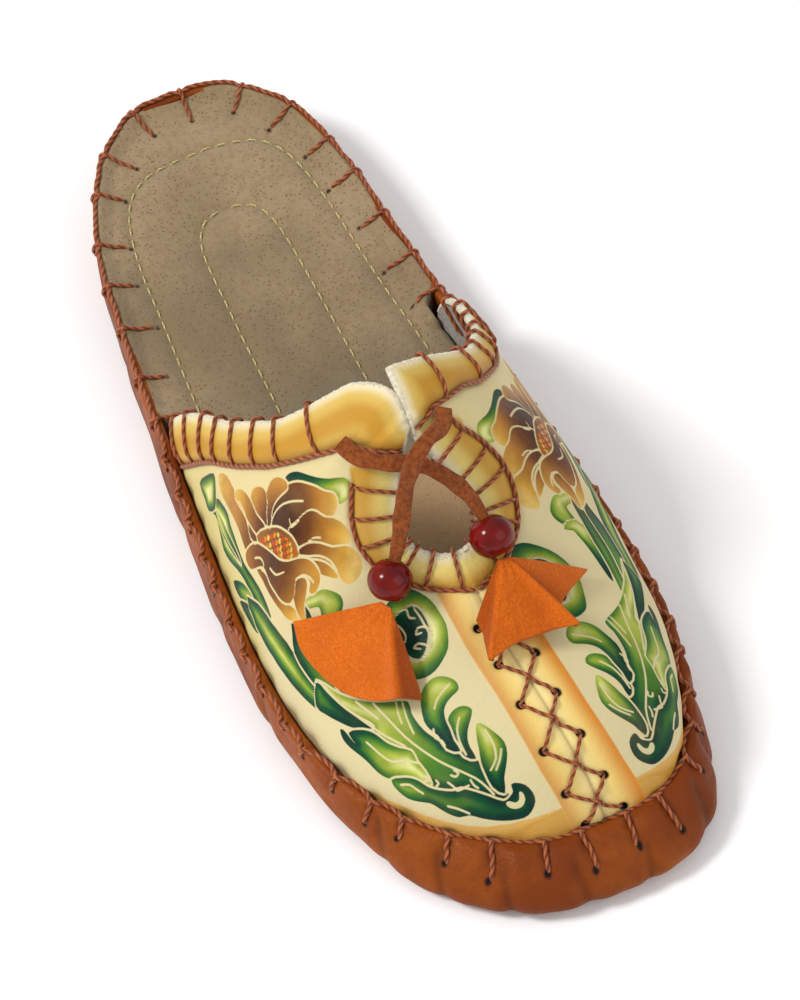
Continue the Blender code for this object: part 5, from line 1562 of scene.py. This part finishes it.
# %% Purl and legs round the rand
def edge_stitching():
    legs = []
    bite = sum(dome(edge_gap(RING_PLACE, spot), 1.7 * MM) for spot in STITCHES)
    sag = sum(dome(edge_gap(RING_PLACE, spot) - 6 * MM, 2.6 * MM) for spot in STITCHES)
    covered = ease((RING_ALONG - RING_WING) / 0.03 + 0.5)
    outer = ease((-RING_PLACE - OUTER_START) / OUTER_FADE) * covered
    offset = covered * (-HALF_WALL + 0.6 * MM) + (1 - covered) * 0.8 * MM + outer * 1.5 * MM
    offset = offset + bite * (1.5 * covered - 0.5 * (1 - covered)) * MM - sag * 0.2 * MM
    out, height = rand_profile(RING_ALONG, RING_SIDE, 1.0, offset)
    loop = np.column_stack([RING_PLAN + RING_OUT * out[:, None], height + (0.55 - 0.15 * bite - 0.5 * outer) * MM])
    loop = np.vstack([loop, loop[:1]])
    for k, spot in enumerate(STITCHES):
        m = at_place(spot)
        if UNDER_VAMP[m]:
            reach, slant = leg_reach(k), hand(STITCH_NUDGE, k * 5) * 0.9
            tall = float(edge_height(RING_ALONG[m]) - ground(RING_ALONG[m]))
            path = []
            for share in np.linspace(0, 1, 6):
                n = at_place(spot + slant * share)
                wide, high = rand_profile(RING_ALONG[n], RING_SIDE[n], 1 - reach * share / tall, HALF_WALL)
                path.append([*(RING_PLAN[n] + RING_OUT[n] * wide), high])
            laid = rand_skin.lay(path, np.r_[0.45, 0.5, 0.5, 0.45, 0.35, -0.5] * MM)
            legs.append(np.vstack([loop[m] + [0, 0, 0.35 * MM], laid[0] + [0, 0, 0.3 * MM], laid[1:]]))
        else:
            reach = hand(HEEL_REACH, k) - 1.0 * MM
            path = [[*(RING_PLAN[m] - RING_OUT[m] * (HALF_WALL + reach * s)), 16 * MM] for s in np.linspace(0.12, 1, 5)]
            laid = insole_skin.lay(path, np.r_[0.55, 0.5, 0.45, 0.35, -0.5] * MM)
            foot = RING_PLAN[m] + RING_OUT[m] * (HALF_WALL + 0.4 * MM)
            rise = [[*foot, loop[m][2] - drop * MM] for drop in (4.2, 2.6, 1.0)]
            start = rand_skin.lay(rise, np.r_[-0.3, 0.4, 0.5] * MM)
            legs.append(np.vstack([start, loop[m] + [0, 0, 0.5 * MM], laid]))
    return (make_cords("edge_purl", [loop], 1.2 * MM, CORD_BROWN),
            make_cords("edge_legs", legs, 1.05 * MM, CORD_BROWN))


edge_purl, edge_legs = edge_stitching()
print("edge stitching:", len(edge_purl.data.polygons) + len(edge_legs.data.polygons), "faces")


# %% Purl and legs of the collar and the keyhole
PURL_END = {RIGHT: 170.0, LEFT: 178.0}  # where the collar's purl stops at the wing, up the chart


def band_stitching(side):
    _, border, outward, away = rims[side]
    collar_run = HALF_ROWS - 1
    routes, legs = [], []
    for lines, feet in ((COLLAR_PURL, COLLAR_LEGS), (KEYHOLE_PURL, KEY_LEGS)):
        collar = lines is COLLAR_PURL
        chart = rounded(lines[side], closed=False)
        chart = chart[chart[:, 0] < PURL_END[side]]
        routes.append(vamp_skin[side].lay(on_vamp(chart, side), 0.55 * MM))
        for spot in feet[side]:
            start = on_vamp([spot], side)[0]
            part = np.arange(collar_run) if collar else np.arange(collar_run + HALF_COLUMNS[0], len(border))
            m = part[int(np.argmin(np.linalg.norm(border[part] - start, axis=1)))]
            path = [start + (border[m] - start) * s for s in (0, 0.25, 0.5, 0.75, 0.96)]
            top = vamp_skin[side].lay(path, np.r_[0.3, 0.5, 0.5, 0.5, 0.55] * MM)
            turn_over = [border[m] + outward[m] * up * MM + away[m] * off * MM
                         for up, off in ((0.25, 1.0), (-1.0, 1.35), (-2.3, 0.9))]
            reach = 9 if collar else 3
            inner = [border[m] - outward[m] * 2 * MM - away[m] * reach * s * MM for s in (0.15, 0.5, 0.85, 1.0)]
            under = lining_skin[side].lay(inner, np.r_[0.5, 0.5, 0.45, -0.4] * MM)
            legs.append(np.vstack([top, turn_over, under]))
    return (make_cords("band_purl_" + WORDS[side], routes, 1.15 * MM, CORD_BROWN),
            make_cords("band_legs_" + WORDS[side], legs, 1.0 * MM, CORD_BROWN))


band_cords = {side: band_stitching(side) for side in halves}
print("band stitching:", [len(c.data.polygons) for pair in band_cords.values() for c in pair], "faces")

# %% [markdown]
# ## Lacing of the seam
# Two strands zigzag down the seam and cross in the middle of each step. They dip into the leather at both ends,
# where each hole is a sunk dot with painted shade in it.

# %% Lacing
def make_lacing():
    routes = []
    skin = Skin(halves[RIGHT][0], halves[LEFT][0])
    shares = np.array([0, 0.06, 0.2, 0.35, 0.5, 0.65, 0.8, 0.94, 1.0])
    for k in range(len(LACE_HOLES[RIGHT]) - 1):
        for over_it, start in ((1.0, RIGHT), (0.0, LEFT)):
            a = on_vamp([LACE_HOLES[start][k]], start)[0]
            b = on_vamp([LACE_HOLES[-start][k + 1]], -start)[0]
            path = [a + (b - a) * s for s in shares]
            lift = np.array([-0.9, 0.2, 0.6, 0.65, 0.65 + 0.95 * over_it, 0.65, 0.6, 0.2, -0.9]) * MM
            laid = skin.lay(path, lift)
            routes.append(laid)
    return make_cords("seam_lace", routes, 0.95 * MM, CORD_BROWN, ("seam_lacing",), "brown_cord")


lacing = make_lacing()
print("lacing:", len(lacing.data.polygons), "faces")

# %% [markdown]
# ## Quilting thread
# The thread shows as short dashes in the channels of the insole.

# %% Quilting thread
DASH = 5  # points of 0.8 mm to a dash


def make_quilting():
    routes = []
    for line in QUILTS:
        path = even(np.column_stack([line, np.zeros(len(line))]), 0.8 * MM)
        for k in range(0, len(path) - DASH, DASH):
            routes.append(insole_skin.drop(path[k : k + DASH], np.r_[-0.15, 0.25, 0.3, 0.25, -0.15] * MM))
    return make_cords("quilting", routes, 0.62 * MM, QUILT_YELLOW, pitch=1.1 * MM, sides=6, spacing=0.6 * MM)


quilting = make_quilting()
print("quilting:", len(quilting.data.polygons), "faces")


# %% [markdown]
# ## Beads and tassels
# A bead is turned wood, a little flatter than a ball, bored for the thong. A tassel is a patch of suede gathered at
# the thong's end, which opens into a fan with a few folds.

# %% Beads
def make_bead(which):
    route = np.array(THONG_ROUTES[which]) * MM
    along = Vector(route[BEAD_SEAT + 1]) - Vector(route[BEAD_SEAT - 1])
    turned = along.normalized().to_track_quat("Z", "Y").to_matrix()
    bore, belly, top = THONG / 2 + 0.45 * MM, BEAD / 2, BEAD_LENGTH / 2
    steep = math.acos((bore + 0.3 * MM) / belly)
    angle = np.linspace(steep, -steep, 25)
    stretch = 0.97 / math.sin(steep)
    profile = [(bore, top * 0.93), *[(belly * math.cos(a), top * math.sin(a) * stretch) for a in angle],
               (bore, -top * 0.93), (bore * 0.94, 0.0)]
    slices, count = 48, len(profile)
    around = 2 * math.pi * np.arange(slices) / slices
    points = [Vector(route[BEAD_SEAT]) + turned @ Vector((r * math.cos(t), r * math.sin(t), z))
              for t in around for r, z in profile]
    faces = []
    for i in range(slices):
        here, ahead = i * count, (i + 1) % slices * count
        faces += [(here + k, ahead + k, ahead + (k + 1) % count, here + (k + 1) % count) for k in range(count)]
    return make_piece("turned_bead_" + which, points, faces, RED_LACQUER, stands_for=("bead_" + which,))


# %% Tassels
TASSEL_COLUMNS = ("along", "sideways", "lift")
TASSELS = {
    "right": ((0.472, -0.600, 2.2), (0.522, -0.625, 2.4), (0.594, -0.605, 2.8), (0.654, -0.560, 3.0),
              (0.704, -0.470, 4.4), (0.722, -0.415, 7.4), (0.735, -0.370, 1.6)),
    "left": ((0.665, -0.050, 2.2), (0.700, -0.055, 2.4), (0.748, -0.085, 5.6), (0.735, 0.030, 3.8), (0.736, 0.125, 5.0),
             (0.752, 0.200, 9.6), (0.694, 0.215, 3.0), (0.620, 0.395, 2.2)),
}
TASSEL_SHADE = {  # painted shade: how far each part of the fan is turned away from the key light, by place along the tables above
    "right": ((0, 0.0), (4.9, 0.0), (5.2, 0.7), (6, 0.55)),
    "left": ((0, 0.5), (1.6, 0.45), (2, 0.05), (3, 0.15), (4.2, 0.32), (4.8, 0.05), (5.05, 0.0), (5.3, 0.6),
             (6.1, 0.4), (7, 0.05)),
}
TASSEL_WIDE, TASSEL_DEEP = 96, 44  # points along the rim and from the neck to the rim


def make_tassel(which):
    route = np.array(THONG_ROUTES[which]) * MM
    rows = TASSELS[which]
    neck = route[-1] + unit(route[-1] - route[-2]) * TASSEL_NECK
    keys = [(i, *row) for i, row in enumerate(rows)]
    places = np.linspace(0, len(rows) - 1, TASSEL_WIDE)
    along, sideways, lift = (smooth(keys, ("row", *TASSEL_COLUMNS), name, places) for name in TASSEL_COLUMNS)
    creased = np.interp(places, np.arange(len(rows)), [row[2] for row in rows])
    lift = 0.35 * lift + 0.65 * creased
    rim = vamp(np.arccos(along), sideways, lift * MM)
    middle = rim.mean(0)
    aside = unit(np.cross(middle - neck, vamp_normal(np.arccos(along.mean()), np.array(sideways.mean()))))
    spread = np.linspace(-1, 1, TASSEL_WIDE)
    if np.dot(rim[-1] - rim[0], aside) < 0:
        aside = -aside
    share = np.linspace(0, 1, TASSEL_DEEP)[None, :, None]
    root = neck + aside * spread[:, None] * TASSEL_GATHER
    sheet = root[:, None] + (rim - root)[:, None] * share
    normal = grid_normals(sheet)
    if normal[..., 2].mean() < 0:
        normal = -normal
    t = share[..., 0]
    gathers = 0.16 * np.sin(spread * 17)[:, None] * dome(t - 0.14, 0.12)
    gathers = gathers + 0.12 * np.sin(spread[:, None] * 9 + t * 7) * t
    sheet = sheet + normal * (gathers * ease(t / 0.05) * MM)[..., None]
    half = SUEDE / 2 * 0.92 * (0.35 + 0.65 * ease(t / 0.3))[..., None]
    points = np.concatenate([(sheet + normal * height).reshape(-1, 3) for height in (half, -half)])
    far = TASSEL_WIDE * TASSEL_DEEP
    faces = grid_faces(TASSEL_WIDE, TASSEL_DEEP, flip=True) + grid_faces(TASSEL_WIDE, TASSEL_DEEP, far)
    number = np.arange(far).reshape(TASSEL_WIDE, TASSEL_DEEP)
    loop = [*number[:, 0], *number[-1, 1:], *number[-2::-1, -1], *number[0, -2:0:-1]]
    faces += [(a, b, b + far, a + far) for a, b in zip(loop, loop[1:] + loop[:1])]
    # Painted shade on the flaps turned away from the key light.
    shade = np.interp(places, *zip(*TASSEL_SHADE[which]))[:, None] * ease((t + 0.1) / 0.5)
    item = make_piece("suede_fan_" + which, points, faces, TASSEL_NAP, {"painted_shade": np.tile(shade.ravel(), 2)},
                      stands_for=("tassel_" + which,))
    turn_outward(item)
    return item


beads = {which: make_bead(which) for which in THONG_ROUTES}
tassels = {which: make_tassel(which) for which in THONG_ROUTES}
for which, (strip, route) in thongs.items():
    run_length(route)
print("beads and tassels on", list(beads))

# %% [markdown]
# ## Floor and light
# A pale floor and large soft lights, with the brightest one high on the left, as the highlights on the beads show.

# %% Studio
def make_studio():
    floor = bpy.data.meshes.new("floor")
    floor.from_pydata([(-3, -3, 0), (3, -3, 0), (3, 3, 0), (-3, 3, 0)], [], [(0, 1, 2, 3)])
    item = bpy.data.objects.new("floor", floor)
    bpy.context.scene.collection.objects.link(item)
    finish = Finish("pale_floor", roughness=0.9, specular=0.1)
    floor.materials.append(finish.done(pigment(250, 250, 250)))
    world = bpy.data.worlds.new("studio")
    world.use_nodes = True
    world.node_tree.nodes["Background"].inputs["Color"].default_value = (1.0, 1.0, 1.0, 1.0)
    world.node_tree.nodes["Background"].inputs["Strength"].default_value = 0.66
    bpy.context.scene.world = world
    bpy.context.scene.view_settings.view_transform = "Standard"
    for name, place, size, power in (("key", (-0.10, -0.75, 0.95), 0.30, 9.0), ("fill", (0.80, 0.55, 0.7), 0.9, 2.5)):
        light = bpy.data.objects.new(name, bpy.data.lights.new(name, "AREA"))
        light.data.size, light.data.energy = size, power
        light.location = place
        light.rotation_euler = (Vector((0.03, 0, 0)) - Vector(place)).to_track_quat("-Z", "Y").to_euler()
        bpy.context.scene.collection.objects.link(light)


make_studio()
